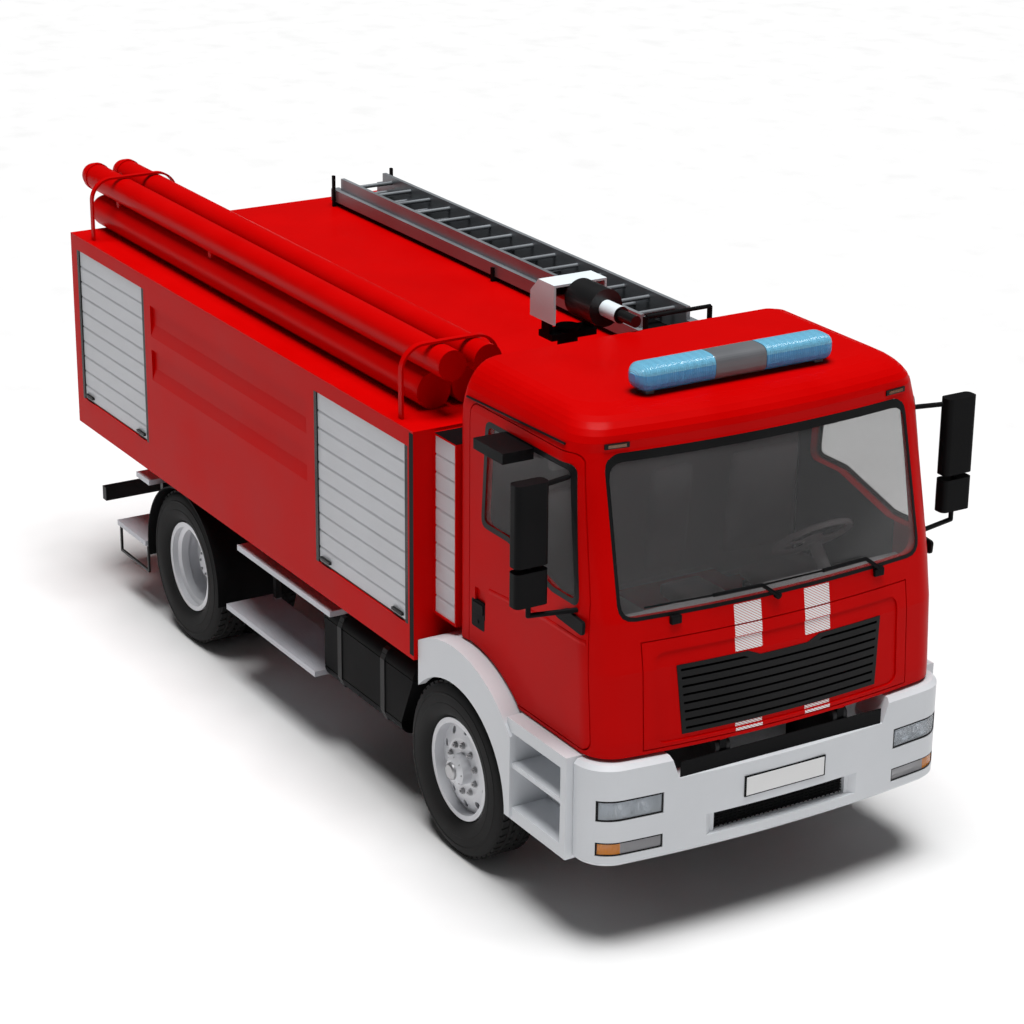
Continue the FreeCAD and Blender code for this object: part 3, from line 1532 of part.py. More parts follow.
def grille():
    """The grille: a frame with level slats that follows the flap's bowed skin."""
    span = (nose - S.cab_front_header, nose)
    layer = less(cab_form(S.grille_inset), cab_form(S.grille_inset + S.grille_depth))
    frame = less(prism("x", grille_outline(0), span), prism("x", grille_outline(-S.grille_frame), span))
    low = S.grille_bottom + S.grille_frame
    pitch = (S.grille_top - S.grille_frame - low + S.grille_slat) / GRILLE_GAPS
    half = S.grille_top_width / 2
    slats = []
    for number in range(1, GRILLE_GAPS):
        base = low + pitch * number - S.grille_slat
        slats.append(box(span, (-half, half), (base, base + S.grille_slat)))
    slats = shared(fused(*slats), prism("x", grille_outline(0), span))
    return node("grille", shared(layer, fused(frame, slats)))


def seats():
    """Driver's and passenger's seats on pedestals and a middle seat on the engine tunnel."""
    front = nose - S.seat_front
    tunnel_top = S.cab_floor + S.tunnel_height + S.tunnel_wall + S.seat_gap
    floor = S.cab_floor + S.floor_thickness + S.seat_gap
    made = []
    for place_y, base in ((-S.seat_spacing, floor), (0, tunnel_top), (S.seat_spacing, floor)):
        half = S.seat_width / 2 if base is floor else S.seat_rest_width / 2
        pedestal = box((front - S.seat_pedestal - S.seat_rest_gap, front - S.seat_rest_gap),
                       (place_y - half / 2, place_y + half / 2), (base, S.seat_base))
        back = front - S.seat_depth
        top = S.seat_base + S.seat_cushion
        high = top + S.seat_back_height
        lean = S.seat_back_lean
        depth = S.seat_back_depth
        outline = [(back - depth, S.seat_base), (front, S.seat_base), (front, top), (back, top),
                   (back - lean, high), (back - lean - depth, high)]
        side = S.seat_rest_width / 2
        rest = box((back - lean - depth + S.seat_rest_gap, back - lean), (place_y - side, place_y + side),
                   (high, high + S.seat_rest_height))
        body = prism("y", outline, (place_y - half, place_y + half))
        made.append(fused(pedestal, body, rest) if base is floor else fused(pedestal, body))
    return node("seats", group(*made))


def strut(start, end, radius):
    """A round bar between two points."""
    first = Vector(*[float(place_of) for place_of in start])
    run = Vector(*[float(place_of) for place_of in end]) - first
    return shaped(Part.makeCylinder(float(radius), run.Length, first, run))


def dashboard():
    """The dashboard against the front wall, with the steering column and wheel on the left."""
    front = nose - S.dash_front
    back = front - S.dash_depth
    outline = [(back, S.dash_bottom), (front, S.dash_bottom), (front, S.dash_top),
               (back + S.dash_depth / 3, S.dash_top), (back, S.dash_edge)]
    board = shared(prism("y", outline, (-S.dash_width / 2, S.dash_width / 2)),
                   cab_form(S.cab_wall + S.seat_gap))
    lean = math.radians(float(S.wheel_lean))
    axis = Vector(-math.sin(lean), 0, math.cos(lean))
    hub = Vector(float(nose - S.wheel_setback), float(S.seat_spacing), float(S.wheel_height))
    ring = Part.makeTorus(float(S.wheel_rim_radius), float(S.wheel_rim_tube), hub, axis)
    ring.rotate(hub, axis, float(S.wheel_lean))
    rim = shaped(ring)
    boss = strut(hub - axis * float(S.wheel_hub_length), hub, S.wheel_hub_radius)
    column = strut(hub - axis * float(S.column_length), hub, S.column_radius)
    middle = hub - axis * float(S.wheel_spoke_drop)
    across = Vector(0, float(S.wheel_rim_radius), 0)
    down = axis.cross(Vector(0, 1, 0)) * float(S.wheel_rim_radius)
    spokes = [strut(middle, middle + reach, S.wheel_spoke) for reach in (across, -across, down)]
    return node("dashboard", fused(board, column, boss, rim, *spokes))


def light_bar():
    """The warning light bar across the roof, rounded along its edges and at both ends, on two feet."""
    middle = nose - S.light_bar_setback
    half = S.light_bar_depth / 2
    low = cab_top + S.light_bar_rise
    high = low + S.light_bar_height
    width = S.light_bar_width / 2
    foot = width - S.light_bar_foot
    block = box((middle - half, middle + half), (-width, width), (low, high))
    pieces = [rounded(block, S.light_bar_round, lambda edge: True)]
    for across in ((foot - S.light_bar_foot, foot), (-foot, S.light_bar_foot - foot)):
        pieces.append(box((middle - half / 2, middle + half / 2), across,
                          (cab_top + S.seat_gap, high - half / 2)))
    return node("light_bar", fused(*pieces))


def on_screen(y, z, stand):
    """A point that stands off the cab's bowed front skin."""
    bow = float(S.cab_bulge) * (float(y) / float(S.cab_bulge_place)) ** 2
    return Vector(cab_front(float(z)) - bow + float(stand), float(y), float(z))


def wipers():
    """Two wipers parked along the windscreen's lower edge: a boss, a short arm and a long tapering blade."""
    made = []
    for place_y in (-S.wiper_right, S.wiper_left):
        root = on_screen(place_y, S.wiper_low, S.wiper_stand)
        knee = on_screen(place_y - S.wiper_knee, S.wiper_high, S.wiper_stand)
        middle = on_screen(place_y - S.wiper_reach / 2, S.wiper_high, S.wiper_stand)
        tip = on_screen(place_y - S.wiper_reach, S.wiper_high, S.wiper_stand)
        boss = strut(on_screen(place_y, S.wiper_low, S.wiper_stand - S.wiper_boss_length),
                     root, S.wiper_boss_radius)
        made.append(fused(boss, strut(root, knee, S.wiper_radius), strut(knee, middle, S.wiper_radius),
                          strut(middle, tip, S.wiper_radius / 2)))
    return node("wipers", less(group(*made), cab_form(-S.seat_gap)))


def mirror_head(bottom, height):
    """A mirror housing with rounded upright edges."""
    middle = nose - S.mirror_setback
    block = box((middle - S.mirror_depth / 2, middle + S.mirror_depth / 2),
                (-S.mirror_reach - S.mirror_width / 2, S.mirror_width / 2 - S.mirror_reach),
                (bottom, bottom + height))
    return rounded(block, S.mirror_round, lambda edge: runs_along(edge, Vector(0, 0, 1)))


def mirrors(kerb):
    """A main and a wide-angle mirror on two arms, and on the right a kerb mirror above the window."""
    x = nose - S.mirror_setback
    outer = (x, -S.mirror_reach)
    pieces = [mirror_head(S.mirror_bottom, S.mirror_height),
              mirror_head(S.wide_mirror_bottom, S.wide_mirror_height),
              rod("z", outer, S.mirror_arm, (S.mirror_arm_low, S.mirror_arm_high))]
    for height, start in ((S.mirror_arm_low, x + S.mirror_arm_root),
                          (S.mirror_arm_high, x - S.mirror_arm_root)):
        end = (x, -S.mirror_reach, height)
        pieces.append(strut((start, -half_cab + S.cab_wall, height), end, S.mirror_arm))
        pieces.append(shaped(Part.makeSphere(float(S.mirror_arm), Vector(*[float(value) for value in end]))))
    if kerb:
        front = nose - S.kerb_mirror_setback
        pieces.append(box((front - S.kerb_mirror_length, front),
                          (-half_cab - S.kerb_mirror_depth, S.cab_wall - half_cab),
                          (S.kerb_mirror_bottom, S.kerb_mirror_bottom + S.kerb_mirror_height)))
    return less(fused(*pieces), cab_form(-S.seat_gap))


# Roof equipment

def tube_places():
    """The places across of the two rows of hose tubes."""
    first = S.tube_edge - half_body
    return first, first + S.tube_pitch


def hose_tubes():
    """Two large tubes on the roof's right with two smaller ones above, capped at the rear, on cradles."""
    low = body_roof + S.tube_radius + S.seat_gap
    high = body_roof + S.top_tube_height
    pieces = []
    for y in tube_places():
        for z, radius, front, rear in ((low, S.tube_radius, nose - S.tube_front, tail + S.tube_rear),
                                       (high, S.top_tube_radius, nose - S.top_tube_front,
                                        tail + S.top_tube_rear)):
            pieces.append(rod("x", (y, z), radius, (rear, front)))
            if z is high:
                pieces.append(rod("x", (y, z), radius + S.tube_ring, (rear, rear + S.tube_ring_length)))
            cap = S.tube_cap if z is low else S.top_tube_rear
            pieces.append(tube_cap((rear, y, z), radius, cap))
    first, second = tube_places()
    for setback in (S.strap_front, S.strap_rear):
        middle = nose - setback if setback is S.strap_front else tail + setback
        pieces.append(box((middle - S.strap_width / 2, middle + S.strap_width / 2),
                          (first - S.tube_radius / 2, second + S.tube_radius / 2),
                          (body_roof + S.seat_gap, high)))
    return node("hose_tubes", fused(*pieces))


def tube_cap(centre, radius, length):
    """A domed cap behind a tube's end, flattened like the end of a drum."""
    dome = Part.makeSphere(float(radius), Vector(), Vector(1, 0, 0))
    flat = FreeCAD.Matrix()
    flat.scale(float(length) / float(radius), 1, 1)
    dome = dome.transformGeometry(flat)
    dome.translate(Vector(*[float(place_of) for place_of in centre]))
    ahead = Part.makeBox(2 * float(radius), 4 * float(radius), 4 * float(radius), Vector(
        float(centre[0]) + float(S.tube_ring), float(centre[1]) - 2 * float(radius),
        float(centre[2]) - 2 * float(radius)))
    return shaped(dome.cut(ahead))


def tube_straps():
    """Two hoops round the whole bundle of tubes that stand on the roof."""
    first = S.strap_edge - half_body
    second = first + S.strap_span
    skin = S.strap_skin
    made = []
    for middle in (nose - S.strap_front, tail + S.strap_rear):
        along = (middle - S.strap_width / 2, middle + S.strap_width / 2)
        base = body_roof + S.seat_gap
        outer = top_rounded(box(along, (first, second), (base, body_roof + S.strap_height)), S.strap_round)
        wide = (along[0] - S.overrun, along[1] + S.overrun)
        inner = top_rounded(box(wide, (first + skin, second - skin), (
            base - S.overrun, body_roof + S.strap_height - skin)), S.strap_round - skin)
        made.append(less(outer, inner))
    return node("tube_straps", group(*made))


def top_rounded(part, radius):
    """A box with its two upper long edges rounded."""
    part.recompute(True)
    height = part.Shape.BoundBox.ZMax
    return rounded(part, radius, lambda edge: runs_along(edge, Vector(1, 0, 0))
                   and abs(edge.CenterOfMass.z - height) < float(S.seat_gap))


def roof_ladder():
    """An extending ladder of two nested sections, lying on its gantries."""
    front = nose - S.ladder_front
    rear = tail + S.ladder_rear
    low = body_roof + S.gantry_height + S.seat_gap
    made = []
    for step, inset in ((0, 0.0), (1, 1.0)):
        inner = S.ladder_inner + S.ladder_nest * inset
        outer = S.ladder_inner + S.ladder_width - S.ladder_nest * inset
        base = low + (S.ladder_rail_height + S.seat_gap) * step
        along = (rear + S.ladder_rail_height * step, front - S.ladder_rail_height * 2 * step)
        rails = [box(along, across, (base, base + S.ladder_rail_height))
                 for across in ((inner, inner + S.ladder_rail_width + S.ladder_nest * (1 - step)),
                                (outer - S.ladder_rail_width - S.ladder_nest * (1 - step), outer))]
        rungs = []
        for number in range(LADDER_RUNGS):
            x = along[0] + (along[1] - along[0]) * (number + 0.5) / LADDER_RUNGS
            rungs.append(rod("y", (x, base + S.ladder_rail_height / 2), S.rung_radius, (inner, outer)))
        made.append(fused(*rails, *rungs))
    return node("roof_ladder", group(*made))


def ladder_gantries():
    """A tray on low cross bars that the ladder lies in, with a frame over it at each end."""
    inner = S.ladder_inner
    outer = S.ladder_inner + S.ladder_width
    bar = S.gantry_bar
    foot = body_roof + S.seat_gap
    top = body_roof + S.gantry_height
    tray = box((tail + S.ladder_rear, nose - S.ladder_front), (inner, outer), (top - S.tray_thickness, top))
    pieces = [tray]
    for setback, height in ((S.gantry_front, S.gantry_frame_height), (S.gantry_middle, S.gantry_post_height),
                            (S.gantry_rear, S.gantry_frame_height)):
        along = (nose - setback - bar / 2, nose - setback + bar / 2)
        pieces.append(box(along, (inner - bar, outer + bar), (foot, top - S.tray_thickness)))
        for across in ((inner - bar, inner - S.joint_gap), (outer + S.joint_gap, outer + bar)):
            pieces.append(box(along, across, (foot, body_roof + height)))
        if height is S.gantry_frame_height:
            pieces.append(box(along, (inner - bar, outer + bar),
                              (body_roof + height - bar, body_roof + height)))
    return node("ladder_gantries", fused(*pieces))


# Water cannon

cannon_x = nose - S.cannon_setback
cannon_axis = body_roof + S.cannon_axis_height
cannon_collar = body_roof + S.cannon_foot_height + S.cannon_post_height


def cannon_base():
    """The cannon's riser pipe with its foot flange on the roof."""
    foot = body_roof + S.seat_gap
    return node("cannon_base", fused(
        rod("z", (cannon_x, 0), S.cannon_foot_radius, (foot, foot + S.cannon_foot_height)),
        rod("z", (cannon_x, 0), S.cannon_post_radius, (foot, cannon_collar))))


def cannon_turret():
    """The turning head: a collar, and a fork inside the hood that carries the barrel between its arms."""
    low = cannon_collar + S.seat_gap
    arm = S.cannon_trunnion
    outer = S.cannon_hood_width / 2 - S.cannon_hood_skin - S.cannon_arm_gap
    top = low + S.cannon_turn_height
    pieces = [rod("z", (cannon_x, 0), S.cannon_turn_radius, (low, top))]
    pieces.append(box((cannon_x - S.cannon_turn_radius, cannon_x + S.cannon_turn_radius),
                      (-outer, outer), (low, top - arm)))
    for across in ((outer - arm, outer), (-outer, arm - outer)):
        pieces.append(box((cannon_x - 2 * arm, cannon_x + 2 * arm), across, (low, cannon_axis)))
        pieces.append(rod("y", (cannon_x, cannon_axis), 2 * arm, across))
    holes = rod("y", (cannon_x, cannon_axis), arm + S.seat_gap, (-outer - arm, outer + arm))
    return node("cannon_turret", less(fused(*pieces), holes))


def hood_outline(grow):
    """The hood seen from the side, with its upper rear edge sloped off."""
    rear = cannon_x - S.cannon_hood_rear - grow
    front = cannon_x + S.cannon_hood_front
    top = cannon_axis + S.cannon_hood_top + grow
    low = cannon_axis - S.cannon_hood_bottom
    slope = S.cannon_hood_top
    return [(rear, low), (front, low), (front, top), (rear + slope, top), (rear, top - slope)]


def cannon_barrel():
    """The barrel with its open hood, drum, nozzle and deflector, and the trunnions it nods on."""
    half = S.cannon_hood_width / 2
    skin = S.cannon_hood_skin
    centre = (0, cannon_axis)
    rear = cannon_x - S.cannon_hood_rear
    front = cannon_x + S.cannon_hood_front
    low = cannon_axis - S.cannon_hood_bottom
    hood = prism("y", hood_outline(0), (-half, half))
    room = prism("y", hood_outline(-skin), (skin - half, half - skin))
    ends = fused(box((front - S.cannon_hood_front, front + skin), (skin - half, half - skin),
                     (low - skin, cannon_axis + S.cannon_hood_top - skin)),
                 box((rear - skin, front + skin), (skin - half, half - skin), (low - skin, low + skin)),
                 box((rear - skin, rear + 2 * skin), (skin - half, half - skin), (low - skin, cannon_axis)))
    drum_start = cannon_x + S.cannon_drum_rear
    drum_end = cannon_x + S.cannon_drum_front
    nozzle_end = drum_end + S.cannon_nozzle_length
    tip = nozzle_end + S.cannon_tip_length
    pieces = [less(hood, room, ends),
              rod("x", centre, S.cannon_barrel_radius, (cannon_x - S.cannon_barrel_radius, drum_start)),
              rod("x", centre, S.cannon_drum_radius, (drum_start, drum_end)),
              rod("x", centre, S.cannon_nozzle_radius, (drum_end, nozzle_end)),
              rod("x", centre, S.cannon_tip_radius, (nozzle_end, tip)),
              rod("y", (cannon_x, cannon_axis), S.cannon_trunnion, (-half, half))]
    return node("cannon_barrel", fused(*pieces))


def build():
    """Make every sub-part and write each to its file."""
    chassis_frame()
    front_axle_beam()
    leaf_springs()
    rear_axle_casing()
    drive_line()
    engine()
    wheels()
    hinge = node("knuckle_right", knuckle())
    node("knuckle_left", mirrored(hinge))
    body_shell()
    roller_shutters()
    tread_steps()
    side_boxes()
    rear_mudguards()
    tail_lamps()
    tail_ladder()
    front_fenders()
    bumper()
    front_lamps()
    cab_shell()
    doors_and_glass()
    front_flap()
    grille()
    seats()
    dashboard()
    light_bar()
    wipers()
    node("mirrors_right", mirrors(True))
    node("mirrors_left", mirrored(mirrors(False)))
    hose_tubes()
    tube_straps()
    roof_ladder()
    ladder_gantries()
    cannon_base()
    cannon_turret()
    cannon_barrel()
    doc.recompute()
    for part in doc.Objects:
        if "Invalid" in part.State or "Error" in part.State:
            raise RuntimeError(f"{part.Label} did not compute")
    os.makedirs("parts", exist_ok=True)
    for name, part in NODES.items():
        if part.Shape.isNull() or not part.Shape.isValid():
            raise RuntimeError(f"{name} has no valid shape")
        part.Shape.exportStep(f"parts/{name}.step")
    print(len(NODES), "sub-parts written")


build()
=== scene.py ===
# %% [markdown]
# # A fire engine, finished piece by piece
# The solid parts of this truck come from a CAD frame: every door, wheel and lamp block is already in its
# place. What a frame lacks is the look of things: paint that shines, rubber with a tread, glass that is
# dark but clear. This lesson adds those, one piece or one finish at a time. All lengths are metres, +X
# is forward and +Z is up.

import math

import bmesh
import bpy
from mathutils import Matrix, Vector


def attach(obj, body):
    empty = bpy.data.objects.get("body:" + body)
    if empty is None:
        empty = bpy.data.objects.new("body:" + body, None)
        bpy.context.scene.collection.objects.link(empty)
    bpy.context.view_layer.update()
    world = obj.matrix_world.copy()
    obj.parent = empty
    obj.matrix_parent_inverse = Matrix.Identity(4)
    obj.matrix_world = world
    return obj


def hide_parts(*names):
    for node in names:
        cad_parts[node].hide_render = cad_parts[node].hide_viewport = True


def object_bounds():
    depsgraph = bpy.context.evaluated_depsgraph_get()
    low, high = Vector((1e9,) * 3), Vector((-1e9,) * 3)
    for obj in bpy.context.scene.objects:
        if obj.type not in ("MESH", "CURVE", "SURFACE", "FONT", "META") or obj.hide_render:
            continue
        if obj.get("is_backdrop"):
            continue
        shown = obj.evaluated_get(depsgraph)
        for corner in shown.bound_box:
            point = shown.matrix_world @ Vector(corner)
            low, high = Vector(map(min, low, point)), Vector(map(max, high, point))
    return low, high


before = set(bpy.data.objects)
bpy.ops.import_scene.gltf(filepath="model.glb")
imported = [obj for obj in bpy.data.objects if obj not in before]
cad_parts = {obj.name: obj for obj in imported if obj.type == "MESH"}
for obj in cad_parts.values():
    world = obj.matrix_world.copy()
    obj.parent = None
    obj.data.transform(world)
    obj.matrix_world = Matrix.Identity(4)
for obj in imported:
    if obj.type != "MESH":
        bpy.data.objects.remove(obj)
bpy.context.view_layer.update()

# %% [markdown]
# ## The camera
# A photograph can be matched only from where it was taken. The place, the turn and the long lens below
# were solved from points whose real places are known, such as wheel centres and roof corners. A camera's
# matrix is built from three directions: to its right, up, and straight back, away from what it looks at.

# %% Camera
def look(place, azimuth, elevation, roll):
    """A camera matrix from compass angles, with a small roll about the line of sight."""
    back = Vector((math.sin(azimuth) * math.cos(elevation), -math.cos(azimuth) * math.cos(elevation),
                   math.sin(elevation)))
    right = (-back).cross(Vector((0, 0, 1))).normalized()
    up = right.cross(-back)
    rolled = right * math.cos(roll) + up * math.sin(roll)
    upright = up * math.cos(roll) - right * math.sin(roll)
    matrix = Matrix((rolled, upright, back)).transposed().to_4x4()
    matrix.translation = place
    return matrix


SENSOR_WIDTH, PHOTO_WIDTH, FOCAL_PIXELS = 36, 1024, 2761.46
CAMERA_PLACE = Vector((14.26648, -8.30588, 7.47196))
AZIMUTH, ELEVATION, ROLL = 1.023209, 0.363726, 0.009744
camera = bpy.data.objects.new("camera", bpy.data.cameras.new("camera"))
camera.data.sensor_width = SENSOR_WIDTH
camera.data.lens = FOCAL_PIXELS / PHOTO_WIDTH * SENSOR_WIDTH
camera.matrix_world = look(CAMERA_PLACE, AZIMUTH, ELEVATION, ROLL)
bpy.context.scene.collection.objects.link(camera)
bpy.context.scene.camera = camera
print("lens:", round(camera.data.lens, 1), "mm")

# %% [markdown]
# ## Light like a bright studio
# The roof is lit hard from above and the flanks only by what the pale floor throws back. That is the
# light under a bright sky panel. A sun with a very wide angle does this evenly over the whole length of
# a truck, where a panel would fade from nose to tail. Two weak panels give the paint something to
# reflect.

# %% Lights, world and floor
def lamp(name, kind, place, aim, power):
    """A light that faces a point."""
    light = bpy.data.lights.new(name, kind)
    light.energy = power
    made = bpy.data.objects.new(name, light)
    made.location = place
    made.rotation_euler = (Vector(aim) - Vector(place)).to_track_quat("-Z", "Y").to_euler()
    bpy.context.scene.collection.objects.link(made)
    return light


SUN_POWER, SUN_ANGLE, WORLD_POWER = 3.95, 0.6, 0.05
PANELS = (("light_front", (13.0, -2.0, 6.0), 14), ("light_side", (3.0, -13.0, 6.0), 8))
lamp("light_over", "SUN", (0.8, -0.3, 12.0), (0, 0, 0), SUN_POWER).angle = SUN_ANGLE
for title, place, power in PANELS:
    lamp(title, "AREA", place, (0, 0, 1.5), power).size = 6.0
world = bpy.data.worlds.new("pale_room")
world.use_nodes = True
sky = world.node_tree.nodes["Background"]
sky.inputs["Color"].default_value = (1.0, 1.0, 1.0, 1)
sky.inputs["Strength"].default_value = WORLD_POWER
bpy.context.scene.world = world
bpy.context.scene.view_settings.view_transform = "Standard"

# %% [markdown]
# ## A kit for finishes
# Nearly every surface here is one idea with other numbers: a base colour that drifts a little over the
# panel, a roughness that drifts with it, and a fine grain pressed into the surface. One function builds
# that network. Where one sub-part has zones of other colours, such as a black end on a white pipe, a
# mask made from the object's own coordinates paints them. Those coordinates move with the part, so the
# zones stay when it swings.

# %% Finish helpers
def set_inputs(node, **values):
    """Set a node's inputs by name; a name's underlines stand for spaces."""
    for name, value in values.items():
        node.inputs[name.replace("_", " ")].default_value = value
    return node


def socket_of(nodes, kind, **values):
    """A new node with its inputs set by name."""
    return set_inputs(nodes.new(kind), **values)


def math_node(tree, operation, first, second=0.0):
    """One arithmetic node; either side may be a number or another node's output."""
    made = tree.nodes.new("ShaderNodeMath")
    made.operation = operation
    for index, value in enumerate((first, second)):
        if isinstance(value, (int, float)):
            made.inputs[index].default_value = value
        else:
            tree.links.new(value, made.inputs[index])
    return made.outputs[0]


def own_coordinates(tree):
    """The object's own coordinates, whole and split, with the distance from the middle as a fourth."""
    place = tree.nodes.new("ShaderNodeTexCoord").outputs["Object"]
    split = tree.nodes.new("ShaderNodeSeparateXYZ")
    tree.links.new(place, split.inputs[0])
    parts = {axis: split.outputs[axis.upper()] for axis in "xyz"}
    parts["side"] = math_node(tree, "ABSOLUTE", parts["y"])
    return place, parts


def zone_mask(tree, parts, zone):
    """One inside a box of coordinates and zero outside it."""
    mask = None
    for axis, (low, high) in zone.items():
        above = math_node(tree, "GREATER_THAN", parts[axis], low)
        within = math_node(tree, "MULTIPLY", above, math_node(tree, "LESS_THAN", parts[axis], high))
        mask = within if mask is None else math_node(tree, "MULTIPLY", mask, within)
    return mask


def mixed(tree, share, first, second):
    """Two colours mixed by a share."""
    mix = tree.nodes.new("ShaderNodeMix")
    mix.data_type = "RGBA"
    for index, value in ((0, share), (6, first), (7, second)):
        if isinstance(value, (tuple, float, int)):
            mix.inputs[index].default_value = value if index == 0 else (*value, 1)
        else:
            tree.links.new(value, mix.inputs[index])
    return mix.outputs[2]


def noise(tree, place, scale, detail):
    """A cloud pattern from 0 to 1."""
    made = socket_of(tree.nodes, "ShaderNodeTexNoise", Scale=scale, Detail=detail)
    tree.links.new(place, made.inputs["Vector"])
    return made.outputs["Fac"]


def mapped(tree, value, low, high, first, second):
    """A value moved from one range to another."""
    made = socket_of(tree.nodes, "ShaderNodeMapRange", From_Min=low, From_Max=high,
                     To_Min=first, To_Max=second)
    tree.links.new(value, made.inputs["Value"])
    return made.outputs[0]


DUST = (0.30, 0.27, 0.23)


def finish(name, colour, rough, metal=0.0, coat=0.0, drift=0.06, grain=(160.0, 0.03), zones=(),
           relief=None, dust=0.0, shine=0.5):
    """A material: drifting colour and roughness, fine grain, coloured zones, perhaps a relief."""
    material = bpy.data.materials.new(name)
    material.use_nodes = True
    tree = material.node_tree
    shader = tree.nodes["Principled BSDF"]
    place, parts = own_coordinates(tree)
    cloud = noise(tree, place, 2.2, 4.0)
    dark = tuple(c * (1 - drift) for c in colour)
    light = tuple(min(c * (1 + drift) + drift * 0.02, 1.0) for c in colour)
    shade = mixed(tree, mapped(tree, cloud, 0.3, 0.7, 0.0, 1.0), dark, light)
    for zone, paint in zones:
        shade = mixed(tree, zone_mask(tree, parts, zone), shade, paint)
    if dust:
        low = mapped(tree, parts["z"], 0.2, 1.2, 1.0, 0.0)
        share = math_node(tree, "MULTIPLY", math_node(tree, "MULTIPLY", low, cloud), dust)
        shade = mixed(tree, share, shade, DUST)
    tree.links.new(shade, shader.inputs["Base Color"])
    fine = noise(tree, place, grain[0], 2.0)
    polish = mapped(tree, cloud, 0.25, 0.75, rough * 0.8, min(rough * 1.25, 1.0))
    tree.links.new(polish, shader.inputs["Roughness"])
    set_inputs(shader, Metallic=metal, Coat_Weight=coat, Specular_IOR_Level=shine, Coat_Roughness=0.05)
    bump = socket_of(tree.nodes, "ShaderNodeBump", Strength=grain[1], Distance=0.01)
    tree.links.new(fine, bump.inputs["Height"])
    if relief:
        pressed = socket_of(tree.nodes, "ShaderNodeBump", Strength=0.6, Distance=0.004)
        tree.links.new(relief(tree, place, parts), pressed.inputs["Height"])
        tree.links.new(bump.outputs["Normal"], pressed.inputs["Normal"])
        bump = pressed
    tree.links.new(bump.outputs["Normal"], shader.inputs["Normal"])
    return material


def dress(material, *nodes):
    """Give CAD nodes a material in all their slots."""
    for name in nodes:
        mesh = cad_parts[name].data
        if not mesh.materials:
            mesh.materials.append(material)
        for index in range(len(mesh.materials)):
            mesh.materials[index] = material
    print(material.name, "on", ", ".join(nodes))


# %% [markdown]
# ## Signal red paint
# The cab, body and hose tubes wear the same red lacquer. A thin clear coat lies over it, and the grain
# is kept very weak: it breaks the reflections just enough to look sprayed and not printed. Zones paint
# what isn't red on the same solids: the grey lining inside the cab, and the black edges behind the doors
# and over the bumper.

# %% Red paint
RED = (0.54, 0.0, 0.0)
BLACK = (0.005, 0.005, 0.0055)
LINING = (0.50, 0.50, 0.51)
CAB_ZONES = (
    ({"x": (1.99, 2.10), "side": (0.0, 1.085), "z": (1.20, 2.78)}, LINING),
    ({"x": (1.99, 3.05), "side": (0.0, 0.90), "z": (2.62, 2.86)}, LINING),
    ({"x": (2.10, 3.00), "side": (0.95, 1.085), "z": (1.22, 2.60)}, BLACK),
    ({"x": (3.20, 3.52), "side": (0.0, 0.90), "z": (0.95, 1.1145)}, BLACK))
BODY_ZONES = (
    ({"side": (1.2742, 1.34), "x": (1.630, 1.70), "z": (1.10, 2.44)}, BLACK),
    ({"x": (1.685, 1.94), "z": (2.4305, 2.50)}, BLACK))
red_paint = finish("red_paint", RED, 0.36, coat=0.02, drift=0.04, grain=(240.0, 0.012), zones=CAB_ZONES,
                   shine=0.03)
dress(red_paint, "cab_shell", "door_left", "door_right", "front_flap", "hose_tubes", "tube_straps")
body_paint = finish("body_paint", RED, 0.38, coat=0.02, drift=0.04, grain=(220.0, 0.012),
                    zones=BODY_ZONES, shine=0.03)
dress(body_paint, "body_shell")

# %% [markdown]
# ## White bumper and wings
# Bumper and wings are moulded and painted a cool white. Their finish is satin, so the light runs off in
# wide soft bands. The cannon's hood shares the idea, with black zones for the drum and the deflector at
# its tip.

# %% White paint
WHITE = (0.69, 0.71, 0.74)
white_paint = finish("white_paint", WHITE, 0.40, coat=0.1, drift=0.03, grain=(200.0, 0.01), dust=0.03,
                     shine=0.3)
dress(white_paint, "bumper", "front_fenders")
CANNON_X, CANNON_Z = 1.25, 2.972
CANNON_ZONES = (
    ({"x": (CANNON_X + 0.131, CANNON_X + 0.403)}, BLACK),
    ({"x": (CANNON_X + 0.558, CANNON_X + 0.8)}, BLACK),
    ({"side": (-1.0, 0.155), "x": (CANNON_X - 0.10, CANNON_X + 0.403),
      "z": (CANNON_Z - 0.12, CANNON_Z + 0.07)}, BLACK))
cannon_paint = finish("cannon_paint", (0.84, 0.92, 0.96), 0.42, coat=0.1, drift=0.03, grain=(200.0, 0.02),
                      zones=CANNON_ZONES)
dress(cannon_paint, "cannon_barrel")

# %% [markdown]
# ## Black frame and castings
# Everything under the body is painted black and lives in road dust, so its colour is broken and its
# sheen dull. The engine block is bare grey iron, with a coarser grain than any paint.

# %% Black and grey metal
chassis_black = finish("chassis_black", (0.009, 0.009, 0.010), 0.5, drift=0.4, grain=(90.0, 0.12), dust=0.03,
                       shine=0.2)
dress(chassis_black, "chassis_frame", "front_axle", "rear_axle", "leaf_springs", "propeller_shaft",
      "knuckle_left", "knuckle_right")
box_black = finish("box_black", (0.0035, 0.0035, 0.004), 0.55, drift=0.3, grain=(120.0, 0.05), dust=0.01,
                   shine=0.04)
dress(box_black, "side_boxes", "rear_mudguards", "ladder_gantries", "cannon_base", "cannon_turret")
engine_iron = finish("engine_iron", (0.16, 0.17, 0.18), 0.62, metal=0.4, drift=0.3, grain=(60.0, 0.3),
                     dust=0.3)
dress(engine_iron, "engine")
moulded_black = finish("moulded_black", (0.004, 0.004, 0.0045), 0.48, drift=0.15, grain=(420.0, 0.10),
                       shine=0.06)
dress(moulded_black, "wipers", "mirrors_left", "mirrors_right")
lining_grey = finish("lining_grey", LINING, 0.7, drift=0.08, grain=(380.0, 0.12), shine=0.2)
